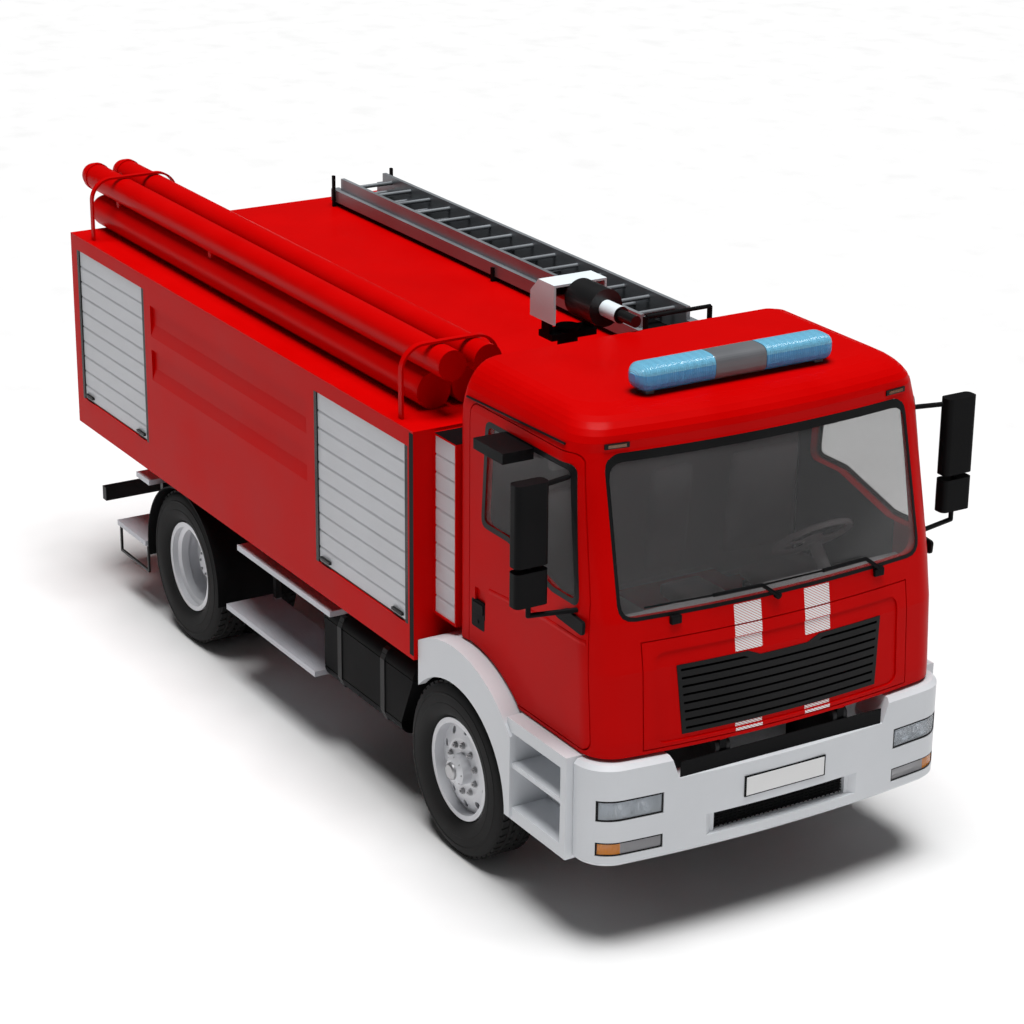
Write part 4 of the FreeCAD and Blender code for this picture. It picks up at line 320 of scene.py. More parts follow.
dress(lining_grey, "dashboard")
grille_black = finish("grille_black", (0.0045, 0.0045, 0.005), 0.36, coat=0.03, drift=0.2,
                      grain=(300.0, 0.04), shine=0.12)
dress(grille_black, "grille")

# %% [markdown]
# ## Aluminium: slats, ladder and chequer plate
# Roller shutters and ladders are drawn aluminium with a satin skin. The steps are chequer plate: short
# raised bars that lie crosswise to each other. The surface is ruled into small squares, and each square
# holds one bar, lengthwise and crosswise in turn. A bump node presses the bars into the plate without a
# single extra face.

# %% Aluminium finishes
def chequer(tree, place, parts):
    """Raised bars in two crossing directions, in squares that take turns."""
    pitch, half_width, half_length = 42.0, 0.16, 0.42

    def node(operation, first, second=0.0):
        return math_node(tree, operation, first, second)

    rows = node("MULTIPLY", parts["x"], pitch)
    files = node("MULTIPLY", node("ADD", parts["y"], parts["z"]), pitch)
    pick = node("ABSOLUTE", node("MODULO", node("ADD", node("FLOOR", rows), node("FLOOR", files)), 2.0))
    across, along = [node("ABSOLUTE", node("SUBTRACT", node("FRACT", value), 0.5))
                     for value in (rows, files)]
    first = node("MULTIPLY", node("LESS_THAN", across, half_width), node("LESS_THAN", along, half_length))
    second = node("MULTIPLY", node("LESS_THAN", along, half_width), node("LESS_THAN", across, half_length))
    one = node("MULTIPLY", first, pick)
    other = node("MULTIPLY", second, node("SUBTRACT", 1.0, pick))
    return node("ADD", one, other)


STEP_BLACK = (0.009, 0.009, 0.010)
STEP_ZONES = (({"side": (0.90, 0.966), "z": (0.53, 1.09)}, STEP_BLACK), ({"z": (0.20, 0.480)}, STEP_BLACK))
plate_metal = finish("plate_metal", (0.52, 0.53, 0.57), 0.42, metal=0.2, drift=0.12, grain=(90.0, 0.05),
                     zones=STEP_ZONES, relief=chequer, dust=0.05)
dress(plate_metal, "tread_steps")


def brushed(tree, place, parts):
    """Fine lines drawn along the slats."""
    stretch = socket_of(tree.nodes, "ShaderNodeMapping", Scale=(2.0, 2.0, 240.0))
    tree.links.new(place, stretch.inputs["Vector"])
    return noise(tree, stretch.outputs["Vector"], 3.0, 2.0)


POSTS = ((-3.08, -3.04), (-1.995, -1.95), (0.47, 0.514), (1.578, 1.62))
slat_zones = [({"side": (1.24, 1.2755), "x": post}, BLACK) for post in POSTS]
slat_zones += [({"side": (1.24, 1.30), "z": (1.20, 1.287)}, BLACK),
               ({"side": (1.2672, 1.30), "z": (1.30, 1.324)}, BLACK)]
slat_metal = finish("slat_metal", (0.60, 0.61, 0.64), 0.46, metal=0.15, drift=0.04, grain=(150.0, 0.02),
                    zones=slat_zones, relief=brushed)
dress(slat_metal, "roller_shutters")
ladder_metal = finish("ladder_metal", (0.26, 0.28, 0.30), 0.42, metal=0.4, drift=0.12, grain=(120.0, 0.05))
dress(ladder_metal, "roof_ladder", "tail_ladder")
rim_metal = finish("rim_metal", (0.70, 0.71, 0.74), 0.36, metal=0.2, coat=0.1, drift=0.06,
                   grain=(140.0, 0.03), dust=0.10)
dress(rim_metal, "front_rim_left", "front_rim_right", "rear_rims_left", "rear_rims_right")

# %% [markdown]
# ## Glass
# Cab glass is tinted: from outside it reads dark grey, yet the far window still shines through. Real
# refraction is slow and noisy for such thin panes, so the shader stays opaque in part instead: an alpha
# below one lets the room behind show, and a polished surface keeps the reflections.

# %% Tinted glass
def tinted(name, colour, alpha):
    """A dark pane that is partly see-through and fully polished, with faint haze."""
    pane = finish(name, colour, 0.06, drift=0.05, grain=(8.0, 0.004))
    set_inputs(pane.node_tree.nodes["Principled BSDF"], Alpha=alpha, IOR=1.52)
    return pane


cab_glass = tinted("cab_glass", (0.120, 0.120, 0.122), 0.30)
dress(cab_glass, "windscreen")
side_glass = tinted("side_glass", (0.040, 0.040, 0.041), 0.20)
dress(side_glass, "door_glass_left", "door_glass_right")


# %% [markdown]
# ## A kit for meshes
# New pieces are written as plain lists of corners and faces. Four small makers cover this truck: a
# prism, which is an outline pushed along an axis; a lathe, which turns a profile about the wheel's axis;
# a sheet, which lays a grid over a curved skin; and a tube, which follows a path. A bevel modifier then
# softens hard edges, because no real edge is perfectly sharp.

# %% Mesh helpers
CORE = 0.0001
SIDES = ((-1, "right", "r"), (1, "left", "l"))


def piece(name, corners, faces, body, material, smooth=False, bevel=0.0, slot=None):
    """A mesh object that rides on a CAD body."""
    mesh = bpy.data.meshes.new(name)
    mesh.from_pydata([tuple(c) for c in corners], [], faces)
    tidy = bmesh.new()
    tidy.from_mesh(mesh)
    bmesh.ops.remove_doubles(tidy, verts=tidy.verts, dist=1e-6)
    bmesh.ops.recalc_face_normals(tidy, faces=tidy.faces)
    tidy.to_mesh(mesh)
    tidy.free()
    made = bpy.data.objects.new(name, mesh)
    bpy.context.scene.collection.objects.link(made)
    mesh.materials.append(material)
    if smooth:
        mesh.shade_smooth()
        mesh.set_sharp_from_angle(angle=math.radians(35))
    if bevel:
        soft = made.modifiers.new("soft_edges", "BEVEL")
        soft.width = bevel
        soft.segments = 2
        soft.limit_method = "ANGLE"
    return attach(made, body)


def grid_rim(rows, columns):
    """The numbers of a grid's outer points, in order round it."""
    rim = list(range(columns)) + [row * columns + columns - 1 for row in range(1, rows)]
    rim += [(rows - 1) * columns + column for column in range(columns - 2, -1, -1)]
    return rim + [row * columns for row in range(rows - 2, 0, -1)]


def ring_faces(rings, count, loop=False):
    """Faces between rings of points, each ring joined to the next one."""
    faces = []
    for ring in range(rings if loop else rings - 1):
        here, after = ring * count, (ring + 1) % rings * count
        for i in range(count):
            j = (i + 1) % count
            faces.append((here + i, here + j, after + j, after + i))
    return faces


def end_faces(rings, count):
    """The two faces that close a row of rings."""
    return [tuple(range(count)), tuple((rings - 1) * count + i for i in reversed(range(count)))]


class Shape:
    """Corners and faces that are gathered from many small forms before they become one piece."""

    def __init__(self):
        self.corners = []
        self.faces = []

    def add(self, corners, faces):
        start = len(self.corners)
        self.corners += [Vector(c) for c in corners]
        self.faces += [tuple(start + index for index in face) for face in faces]
        return self

    def join(self, other):
        """Take in the forms of another shape."""
        return self.add(other.corners, other.faces)

    def prism(self, outline, axis, low, high):
        """An outline of the two other coordinates, in X, Y, Z order, pushed along one axis."""
        count = len(outline)
        corners = []
        for place in (low, high):
            for pair in outline:
                corner = list(pair)
                corner.insert("xyz".index(axis), place)
                corners.append(corner)
        faces = [tuple(range(count - 1, -1, -1)), tuple(range(count, 2 * count))]
        faces += [(i, (i + 1) % count, count + (i + 1) % count, count + i) for i in range(count)]
        return self.add(corners, faces)

    def block(self, x, y, z):
        """A box between pairs of low and high places."""
        return self.prism([(x[0], y[0]), (x[1], y[0]), (x[1], y[1]), (x[0], y[1])], "z", *z)

    def lathe(self, profile, centre, axis="y", steps=48):
        """A closed profile of radius and place along the axis, turned about it."""
        corners = []
        count = len(profile)
        for step in range(steps):
            angle = 2 * math.pi * step / steps
            for radius, along in profile:
                ring = [radius * math.cos(angle), radius * math.sin(angle)]
                ring.insert("xyz".index(axis), along)
                corners.append(Vector(ring) + Vector(centre))
        return self.add(corners, ring_faces(steps, count, loop=True))

    def tube(self, path, radius, sides=10):
        """A round bar along a path of points, closed at both ends."""
        points = [Vector(p) for p in path]
        corners = []
        for index, point in enumerate(points):
            ahead = points[min(index + 1, len(points) - 1)] - points[max(index - 1, 0)]
            steep = abs(ahead.normalized().z) >= 0.9
            across = ahead.cross(Vector((1, 0, 0)) if steep else Vector((0, 0, 1)))
            across.normalize()
            up = across.cross(ahead).normalized()
            for side in range(sides):
                angle = 2 * math.pi * side / sides
                corners.append(point + (across * math.cos(angle) + up * math.sin(angle)) * radius)
        faces = end_faces(len(points), sides) + ring_faces(len(points), sides)
        return self.add(corners, faces)

    def sheet(self, grid, thickness):
        """A grid of points given a thickness against its own normal."""
        rows, columns = len(grid), len(grid[0])
        flat = [Vector(p) for row in grid for p in row]
        origin = Vector(grid[0][0])
        normal = (Vector(grid[0][-1]) - origin).cross(Vector(grid[-1][0]) - origin)
        back = [p - normal.normalized() * thickness for p in flat]
        count = rows * columns
        faces = []
        for row in range(rows - 1):
            for column in range(columns - 1):
                a = row * columns + column
                faces.append((a, a + 1, a + columns + 1, a + columns))
                faces.append((count + a, count + a + columns, count + a + columns + 1, count + a + 1))
        rim = grid_rim(rows, columns)
        for index, here in enumerate(rim):
            after = rim[(index + 1) % len(rim)]
            faces.append((here, count + here, count + after, after))
        return self.add(flat + back, faces)

    def both(self):
        """The same forms again on the other side of the truck."""
        return self.join(flipped(self))

    def make(self, name, body, material, **options):
        made = piece(name, self.corners, self.faces, body, material, **options)
        print(name, len(made.data.polygons), "faces")
        return made


def flipped(shape):
    """A copy of a shape on the other side of the truck."""
    corners = [(c.x, -c.y, c.z) for c in shape.corners]
    return Shape().add(corners, [tuple(reversed(face)) for face in shape.faces])


# %% [markdown]
# ## The curved skins
# Lamps, stripes and seals have to lie on surfaces that bow outwards. It pays to write each such surface
# once, as a function that answers: how far forward is the skin here? The cab's face leans back in
# straight stages and bows across its width, and the bumper bows and then turns a tight corner.

# %% Skin functions
NOSE = 3.520
CAB_STAGES = ((1.115, 0.035), (1.190, 0.035), (1.583, 0.057), (1.855, 0.102), (2.720, 0.304))
CAB_SIDE = 1.142


def bow(bulge, place, y):
    """How far a shallow arc has dropped back at a distance from the middle."""
    radius = (place ** 2 + bulge ** 2) / (2 * bulge)
    return radius - math.sqrt(radius ** 2 - y ** 2)


def cab_skin(y, z):
    """How far forward the cab's face is."""
    for (low, first), (high, second) in zip(CAB_STAGES, CAB_STAGES[1:]):
        if z <= high:
            setback = first + (second - first) * max(z - low, 0) / (high - low)
            break
    else:
        setback = CAB_STAGES[-1][1]
    return NOSE - setback - bow(0.070, 0.950, y)


def bumper_skin(y):
    """How far forward the bumper's face is."""
    side, corner, centre = abs(y), 0.205, 0.985
    if side < 1.010:
        return NOSE - bow(0.055, 0.950, side)
    return 3.2544 + math.sqrt(max(corner ** 2 - (side - centre) ** 2, 0))


def spread(low, high, count):
    """Evenly spaced places from low to high."""
    return [low + (high - low) * index / (count - 1) for index in range(count)]


def face_sheet(skin, y, z, proud, thickness, columns, rows):
    """A thin sheet on a forward-facing skin between two pairs of places."""
    grid = [[(skin(b, c) + proud, b, c) for b in spread(*y, columns)] for c in spread(*z, rows)]
    return Shape().sheet(grid, thickness)


# %% [markdown]
# ## Seals round the glass
# Each pane is held by a black band that hides the glue. It follows the pane's outline with its round
# corners, and on the windscreen it also follows the bow. A band is two outlines, one inside the other,
# joined by a strip of faces, with each long edge divided so that it can bend.

# %% Window bands
def rounded(corners, radius, steps=5):
    """An outline whose corners are round; every corner is cut where an arc of this radius would start."""
    points = []
    for index, here in enumerate(corners):
        before, after = corners[index - 1], corners[(index + 1) % len(corners)]
        ends = [[(other[i] - here[i]) / math.dist(here, other) for i in (0, 1)] for other in (before, after)]
        cosine = ends[0][0] * ends[1][0] + ends[0][1] * ends[1][1]
        reach = radius * math.sqrt((1 + cosine) / (1 - cosine))
        start, end = [[here[i] + way[i] * reach for i in (0, 1)] for way in ends]
        for t in spread(0.0, 1.0, steps):
            points.append(tuple((1 - t) ** 2 * start[i] + 2 * t * (1 - t) * here[i] + t * t * end[i]
                                for i in (0, 1)))
    return points


def divided(points, count):
    """An outline with every edge split, so that it can follow a bow."""
    return [tuple(a[i] + (b[i] - a[i]) * step / count for i in (0, 1))
            for a, b in zip(points, points[1:] + points[:1]) for step in range(count)]


def band(outer, inner, place, depth):
    """A closed band between two outlines, laid on a skin by place(a, b) and given some depth."""
    count = len(outer)
    corners = []
    for lift in (0.0, -depth):
        for outline in (outer, inner):
            corners += [place(a, b, lift) for a, b in outline]
    faces = []
    for i in range(count):
        j = (i + 1) % count
        faces += [(i, j, count + j, count + i), (2 * count + j, 2 * count + i, 3 * count + i, 3 * count + j),
                  (j, i, 2 * count + i, 2 * count + j), (count + i, count + j, 3 * count + j, 3 * count + i)]
    return Shape().add(corners, faces)


seal_black = finish("seal_black", (0.004, 0.004, 0.0045), 0.45, drift=0.1, grain=(500.0, 0.06), shine=0.15)
BAND_PROUD, BAND_DEPTH = 0.0008, 0.0012
SCREEN_EDGE = [(-0.9915, 1.8555), (0.9915, 1.8555), (0.9775, 2.7195), (-0.9775, 2.7195)]
SCREEN_INNER = [(-0.973, 1.876), (0.973, 1.876), (0.958, 2.672), (-0.958, 2.672)]
screen_band = band(divided(rounded(SCREEN_EDGE, 0.095), 8), divided(rounded(SCREEN_INNER, 0.085), 8),
                   lambda y, z, lift: (cab_skin(y, z) + BAND_PROUD + lift, y, z), BAND_DEPTH)
screen_band.make("windscreen_band", "cab", seal_black, slot="trim_black")

window_edge = rounded([(2.196, 2.047), (2.475, 2.047), (2.928, 1.922), (3.189, 1.922), (3.087, 2.670),
                       (2.239, 2.670)], 0.055)
window_inner = rounded([(2.230, 2.080), (2.482, 2.080), (2.935, 1.955), (3.153, 1.955), (3.058, 2.640),
                        (2.270, 2.640)], 0.040)


def door_inset(z):
    """How far the upper door skin has curled in towards the roof."""
    share = min(max((z - 2.620) / 0.295, 0.0), 1.0)
    return 0.190 * (1 - math.sqrt(1 - share ** 2))


def corner_inset(x, z):
    """How far the door's skin has turned in towards the cab's front corner."""
    start = cab_skin(0.950, z) - 0.190
    ahead = min(max(x - start, 0.0), 0.185)
    return 0.190 - math.sqrt(0.190 ** 2 - ahead ** 2)


def door_skin(x, z):
    """How far out the door's skin is."""
    return CAB_SIDE - max(door_inset(z), corner_inset(x, z))


for side, word, short in SIDES:
    window_band = band(
        divided(window_edge, 4), divided(window_inner, 4),
        lambda x, z, lift, s=side: (x, s * (door_skin(x, z) + BAND_PROUD + lift), z), BAND_DEPTH)
    window_band.make(f"window_band_{word}", f"door_{short}", seal_black, slot="trim_black")

# %% [markdown]
# ## Tyres with a tread
# A tyre is a turned body, so a lathe makes its carcass: soft shoulders, a bulging wall with a rib to
# guard it, and a bead. The tread is different: blocks of rubber that repeat. Each block is set on the
# carcass with its edges along the curve, and the two outer rows are staggered, as on a drive tyre.

# %% Tyre material and maker
TYRE_RADIUS, HUB_Z = 0.520, 0.520
rubber = finish("rubber", (0.008, 0.008, 0.0085), 0.72, drift=0.25, grain=(260.0, 0.10), dust=0.03,
                shine=0.2)
CARCASS = (
    (0.2865, 0.088), (0.300, 0.0895), (0.306, 0.0897), (0.314, 0.104), (0.330, 0.124), (0.352, 0.137),
    (0.380, 0.1435), (0.395, 0.1445), (0.398, 0.1425), (0.420, 0.1435), (0.445, 0.141), (0.448, 0.1435),
    (0.456, 0.143), (0.459, 0.139), (0.480, 0.134), (0.497, 0.124), (0.506, 0.112), (0.5095, 0.098))
RIBS = ((0.5095, 0.064), (0.519, 0.062), (0.519, 0.040), (0.508, 0.038), (0.508, 0.016), (0.519, 0.014))
TREAD_DEPTH, TREAD_COUNT, TREAD_SHARE = 0.016, 54, 0.72
TREAD_ROWS = ((0.0, 0.068, 0.108, 0.02), (0.6, -0.108, -0.068, 0.02),
              (0.3, 0.0185, 0.0355, -0.02), (0.9, -0.0355, -0.0185, 0.02))


def tread_block(shape, centre, angle, sweep, low, high, slant):
    """A raised block that follows the tyre's curve between two places across its tread."""
    corners = []
    for height in (TYRE_RADIUS - TREAD_DEPTH, TYRE_RADIUS):
        for turn, across in ((0.0, low), (sweep, low), (sweep + slant, high), (slant, high)):
            a = angle + turn
            corners.append((centre[0] + height * math.cos(a), centre[1] + across,
                            centre[2] + height * math.sin(a)))
    shape.add(corners, [(0, 1, 2, 3), (7, 6, 5, 4), (0, 4, 5, 1), (1, 5, 6, 2), (2, 6, 7, 3), (3, 7, 4, 0)])


def tyre(shape, x, y):
    """One tyre with its carcass, grooves and tread blocks."""
    outline = [*CARCASS, *RIBS]
    outline += [(radius, -along) for radius, along in reversed(outline)]
    shape.lathe(outline, (x, y, HUB_Z), steps=96)
    for number in range(TREAD_COUNT):
        angle = 2 * math.pi * number / TREAD_COUNT
        sweep = 2 * math.pi / TREAD_COUNT * TREAD_SHARE
        for late, low, high, slant in TREAD_ROWS:
            tread_block(shape, (x, y, HUB_Z), angle + sweep * late, sweep, low, high, slant)


# %% Tyres
FRONT_X, REAR_X = 2.040, -1.520
FRONT_TYRE_Y, OUTER_TYRE_Y = 1.086, 1.102
TWIN_SPACING = 0.325
for side, word, short in SIDES:
    front = Shape()
    tyre(front, FRONT_X, side * FRONT_TYRE_Y)
    single = front.make(f"tyre_front_{word}", f"wheel_f{short}", rubber, smooth=True, slot="tyre_rubber")
    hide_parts(f"front_tyre_{word}")
    rear = Shape()
    for y in (OUTER_TYRE_Y, OUTER_TYRE_Y - TWIN_SPACING):
        tyre(rear, REAR_X, side * y)
    twins = rear.make(f"tyres_rear_{word}", f"wheels_r{short}", rubber, smooth=True, slot="tyre_rubber")
    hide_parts(f"rear_tyres_{word}")

# %% [markdown]
# ## Wheel nuts and hub covers
# Ten nuts hold each wheel. A nut is a hexagon with a turned collar and the stud's end in its middle.
# They are made once as a shape and set round a circle by sine and cosine. The hub gets a cover with a
# stepped edge and its own ring of small bolts.

# %% Nuts and hubs
nut_metal = finish("nut_metal", (0.42, 0.42, 0.43), 0.35, metal=0.8, drift=0.15, grain=(150.0, 0.05))


NUT_FORMS = ((1.25, 1.25, 0.25, 0.3, 16), (1.0, 1.0, 1.1, 1.1, 6), (0.5, 0.45, 1.6, 1.6, 10))


def nut(shape, x, y, z, out, size):
    """A collar, a hexagon and the stud's end, facing outwards along Y."""
    for foot, top, edge, crown, steps in NUT_FORMS:
        profile = [(CORE, 0.0), (size * foot, 0.0), (size * top, out * size * edge),
                   (CORE, out * size * crown)]
        shape.lathe(profile, (x, y, z), steps=steps)


def nut_ring(shape, x, y, out, radius, size, count, start=0.0):
    """Nuts set round a circle."""
    for number in range(count):
        angle = start + 2 * math.pi * number / count
        nut(shape, x + radius * math.cos(angle), y, HUB_Z + radius * math.sin(angle), out, size)


FRONT_FACE_Y, REAR_FACE_Y, NUT_START = 1.191, 0.9395, 0.314
for side, word, short in SIDES:
    front = Shape()
    nut_ring(front, FRONT_X, side * (FRONT_FACE_Y - 0.034), side, 0.142, 0.017, 10, NUT_START)
    nut_ring(front, FRONT_X, side * (FRONT_FACE_Y + 0.022), side, 0.080, 0.007, 8)
    cap = [(CORE, 0.0), (0.052, 0.0), (0.050, side * 0.010), (0.040, side * 0.018), (CORE, side * 0.020)]
    front.lathe(cap, (FRONT_X, side * (FRONT_FACE_Y + 0.044), HUB_Z), steps=32)
    front.make(f"nuts_front_{word}", f"wheel_f{short}", nut_metal, smooth=True)
    rear = Shape()
    nut_ring(rear, REAR_X, side * (REAR_FACE_Y + 0.016), side, 0.150, 0.017, 10, NUT_START)
    nut_ring(rear, REAR_X, side * (REAR_FACE_Y + 0.150), side, 0.076, 0.008, 8)
    rear.make(f"nuts_rear_{word}", f"wheels_r{short}", nut_metal, smooth=True)

# %% [markdown]
# ## Headlamps and turn signals
# A lamp is a little room: a dark bezel, bright bowls that face forward, and a clear cover flush with the
# bumper. The bowls are turned on the lathe along X. The cover is a sheet on the bumper's skin. Behind it
# the air stays real, so the bowls show depth from every side. The turn signal below is orange in its
# outer third.

# %% Lamp materials
def lamp_cover(name, colour, alpha, zones=()):
    """Clear lamp glass with fine upright flutes."""
    def flutes(tree, place, parts):
        wave = math_node(tree, "SINE", math_node(tree, "MULTIPLY", parts["y"], 700.0))
        return math_node(tree, "ABSOLUTE", wave)

    cover = finish(name, colour, 0.08, coat=0.3, drift=0.04, grain=(30.0, 0.01), relief=flutes, zones=zones)
    set_inputs(cover.node_tree.nodes["Principled BSDF"], Alpha=alpha)
    return cover


clear_cover = lamp_cover("clear_cover", (0.74, 0.80, 0.86), 0.34)
SIGNAL_ORANGE = (0.90, 0.28, 0.0)
signal_cover = lamp_cover("signal_cover", (0.42, 0.42, 0.44), 0.72,
                          zones=(({"side": (1.02, 1.20)}, SIGNAL_ORANGE),))
mirror_bowl = finish("mirror_bowl", (0.80, 0.84, 0.88), 0.12, metal=0.9, drift=0.03, grain=(60.0, 0.01))
bezel_blue = finish("bezel_blue", (0.20, 0.26, 0.33), 0.3, metal=0.3, drift=0.1, grain=(200.0, 0.03))

# %% Headlamps
HEAD_Z, HEAD_Y = (0.777, 0.895), (0.772, 1.138)
SIGNAL_Z = (0.574, 0.650)
BOWL_Z, BOWLS = 0.836, ((0.865, 0.052), (1.000, 0.050))
FRAME_DEPTH = 0.004
BULB = [(CORE, 0.0), (0.013, -0.004), (0.017, -0.018), (CORE, -0.032)]


def skin_strip(y, z, back, thickness):
    """A sheet behind the bumper's skin at a given depth."""
    return face_sheet(lambda b, c: bumper_skin(b), y, z, -back, thickness, 16, 4)


def lamp_frame(shape, y, z, width):
    """A flat black frame that follows the bumper's skin round a lamp."""
    bars = (((y[0], y[0] + width), z, 3), ((y[1] - width, y[1]), z, 3),
            (y, (z[0], z[0] + width), 16), (y, (z[1] - width, z[1]), 16))
    for across, up, columns in bars:
        grid = [[(bumper_skin(b) - FRAME_DEPTH, b, c) for b in spread(*across, columns)]
                for c in spread(*up, 2)]
        shape.sheet(grid, FRAME_DEPTH)


covers = skin_strip(HEAD_Y, HEAD_Z, 0.006, 0.004)
bezels = skin_strip(HEAD_Y, HEAD_Z, 0.050, 0.010)
signals = skin_strip(HEAD_Y, SIGNAL_Z, 0.007, 0.030)
bowls, frames = Shape(), Shape()
for y, size in BOWLS:
    front = bumper_skin(y) - 0.022
    bowl = [(size, 0.0), (size * 0.92, 0.002), (size * 0.80, -0.020), (size * 0.45, -0.040), (CORE, -0.046),
            (CORE, -0.050), (size * 0.5, -0.046), (size * 0.9, -0.024), (size, -0.006)]
    bowls.lathe(bowl, (front, y, BOWL_Z), axis="x", steps=32)
    bowls.lathe(BULB, (front - 0.008, y, BOWL_Z), axis="x", steps=16)
lamp_frame(frames, HEAD_Y, HEAD_Z, 0.009)
lamp_frame(frames, HEAD_Y, SIGNAL_Z, 0.007)
lamp_glass = covers.both().make("headlamp_covers", "chassis", clear_cover, slot="lamp_clear")
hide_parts("front_lamps")
bezels.both().make("headlamp_bezels", "chassis", bezel_blue)
bowls.both().make("headlamp_bowls", "chassis", mirror_bowl, smooth=True)
signals.both().make("turn_signals", "chassis", signal_cover, slot="lamp_clear")
frames.both().make("lamp_frames", "chassis", seal_black, slot="trim_black")

# %% [markdown]
# ## The bumper's middle
# The number plate is a blank white sheet in a dark frame, set on the bumper's middle. Below it is the
# air intake, a slot with a black mesh behind it. The mesh is real bars here and not a picture, because
# at this size light falls between them.

# %% Plate and intake
plate_white = finish("plate_white", (0.80, 0.80, 0.80), 0.4, drift=0.03, grain=(160.0, 0.03))
PLATE_HALF, PLATE_Z = 0.260, (0.764, 0.872)
MESH_HALF, MESH_Z, BAR_HALF = 0.435, (0.588, 0.697), 0.003
MESH_X, BACK_X = (NOSE - 0.062, NOSE - 0.056), (NOSE - 0.072, NOSE - 0.066)
holder = Shape().block((NOSE - 0.004, NOSE + 0.004), (-0.270, 0.270), (0.756, 0.880))
plate = Shape().block((NOSE + 0.004, NOSE + 0.006), (-PLATE_HALF, PLATE_HALF), PLATE_Z)
holder.make("plate_holder", "chassis", moulded_black, bevel=0.002)
plate.make("plate_blank", "chassis", plate_white, bevel=0.001)
mesh_bars = Shape()
for z in spread(0.600, 0.685, 6):
    mesh_bars.block(MESH_X, (-MESH_HALF, MESH_HALF), (z - BAR_HALF, z + BAR_HALF))
for y in spread(-0.42, 0.42, 29):
    mesh_bars.block(MESH_X, (y - BAR_HALF, y + BAR_HALF), MESH_Z)
mesh_bars.block(BACK_X, (-0.438, 0.438), MESH_Z)
mesh_bars.make("intake_mesh", "chassis", moulded_black)

# %% [markdown]
# ## White marks on the cab's face
# Two white bands run down the face on either side of the middle, from the glass to the lower edge, and
# the grille covers their middle stretch. They are film, so they are only as thick as film and lie on the
# skin. The parts on the flap ride with the flap, and the parts above it stay with the cab.

# %% Face bands
def hatched(name):
    """White film with fine slanting red lines."""
    film = finish(name, (0.80, 0.80, 0.80), 0.4, coat=0.2, drift=0.03, grain=(200.0, 0.01))
    tree = film.node_tree
    shader = tree.nodes["Principled BSDF"]
    old = shader.inputs["Base Color"].links[0].from_socket
    place, parts = own_coordinates(tree)
    slope = math_node(tree, "ADD", parts["y"], math_node(tree, "MULTIPLY", parts["z"], 1.6))
    wave = math_node(tree, "FRACT", math_node(tree, "MULTIPLY", slope, 42.0))
    line = math_node(tree, "LESS_THAN", wave, 0.22)
    tree.links.new(mixed(tree, line, old, RED), shader.inputs["Base Color"])
    return film


band_film = hatched("band_film")
PANEL_DEPTH, FILM_PROUD, FILM_THICK = 0.009, 0.0012, 0.001
LOWER_BANDS = (((1.676, 1.734), 0.0), ((1.592, 1.668), PANEL_DEPTH), ((1.166, 1.186), PANEL_DEPTH),
               ((1.142, 1.159), 0.0))
upper, lower = Shape(), Shape()
for across in ((-0.313, -0.142), (0.142, 0.313)):
    upper.join(face_sheet(cab_skin, across, (1.742, 1.850), FILM_PROUD, FILM_THICK, 6, 5))
    for up, deep in LOWER_BANDS:
        lower.join(face_sheet(cab_skin, across, up, FILM_PROUD - deep, FILM_THICK, 6, 3))
upper.make("bands_upper", "cab", band_film)
screen = face_sheet(cab_skin, (-0.655, 0.655), (1.198, 1.572), -0.034, 0.003, 20, 4)
screen.make("grille_screen", "flap", seal_black, slot="trim_black")
lower.make("bands_lower", "flap", band_film)

# %% [markdown]
# ## Door furniture
# The handle is a black flap in a pressed cup at the door's rear edge. The black foot of the mirror arm
# lies at the front edge below the window. Both are small mouldings, so prisms with bevelled edges are
# enough, and one shape serves both doors when it is flipped.

# %% Handles and mirror feet
CUP = rounded([(2.100, 1.430), (2.240, 1.430), (2.240, 1.594), (2.100, 1.594)], 0.016)
PULL = rounded([(2.112, 1.524), (2.230, 1.524), (2.230, 1.584), (2.112, 1.584)], 0.012)
FOOT = rounded([(2.960, 1.812), (3.255, 1.790), (3.262, 1.868), (3.080, 1.885)], 0.020)
LOCK = [(CORE, 0.0), (0.012, 0.0), (0.012, -0.004), (CORE, -0.004)]
HANDLE_Y = -CAB_SIDE - 0.0015
for side, word, short in SIDES:
    handle = Shape().prism(CUP, "y", -(CAB_SIDE - 0.016), HANDLE_Y)
    handle.prism(PULL, "y", HANDLE_Y, -CAB_SIDE - 0.008)
    handle.lathe(LOCK, (2.170, HANDLE_Y, 1.470))
    foot = Shape().prism(FOOT, "y", -CAB_SIDE, -CAB_SIDE - 0.018)
    for shape, title in ((handle, "handle"), (foot, "mirror_foot")):
        chosen = shape if side == -1 else flipped(shape)
        chosen.make(f"{title}_{word}", f"door_{short}", moulded_black, bevel=0.002, slot="trim_black")

# %% [markdown]
# ## Creases and the drip rail
# A pressed crease runs from below the handle to the front edge of each door, and a black drip rail keeps
# rain off the door's upper edge. Each is a narrow strip that follows the skin. The crease is raised by
# only a few millimetres, which is enough for a bright line where the light comes from above.

# %% Creases and drip rails
def crease(x, up):
    """The crease's height at a place along the door, with a shift up or down."""
    return 1.700 + 0.048 * min((x - 2.285) / 0.579, 1.0) + up


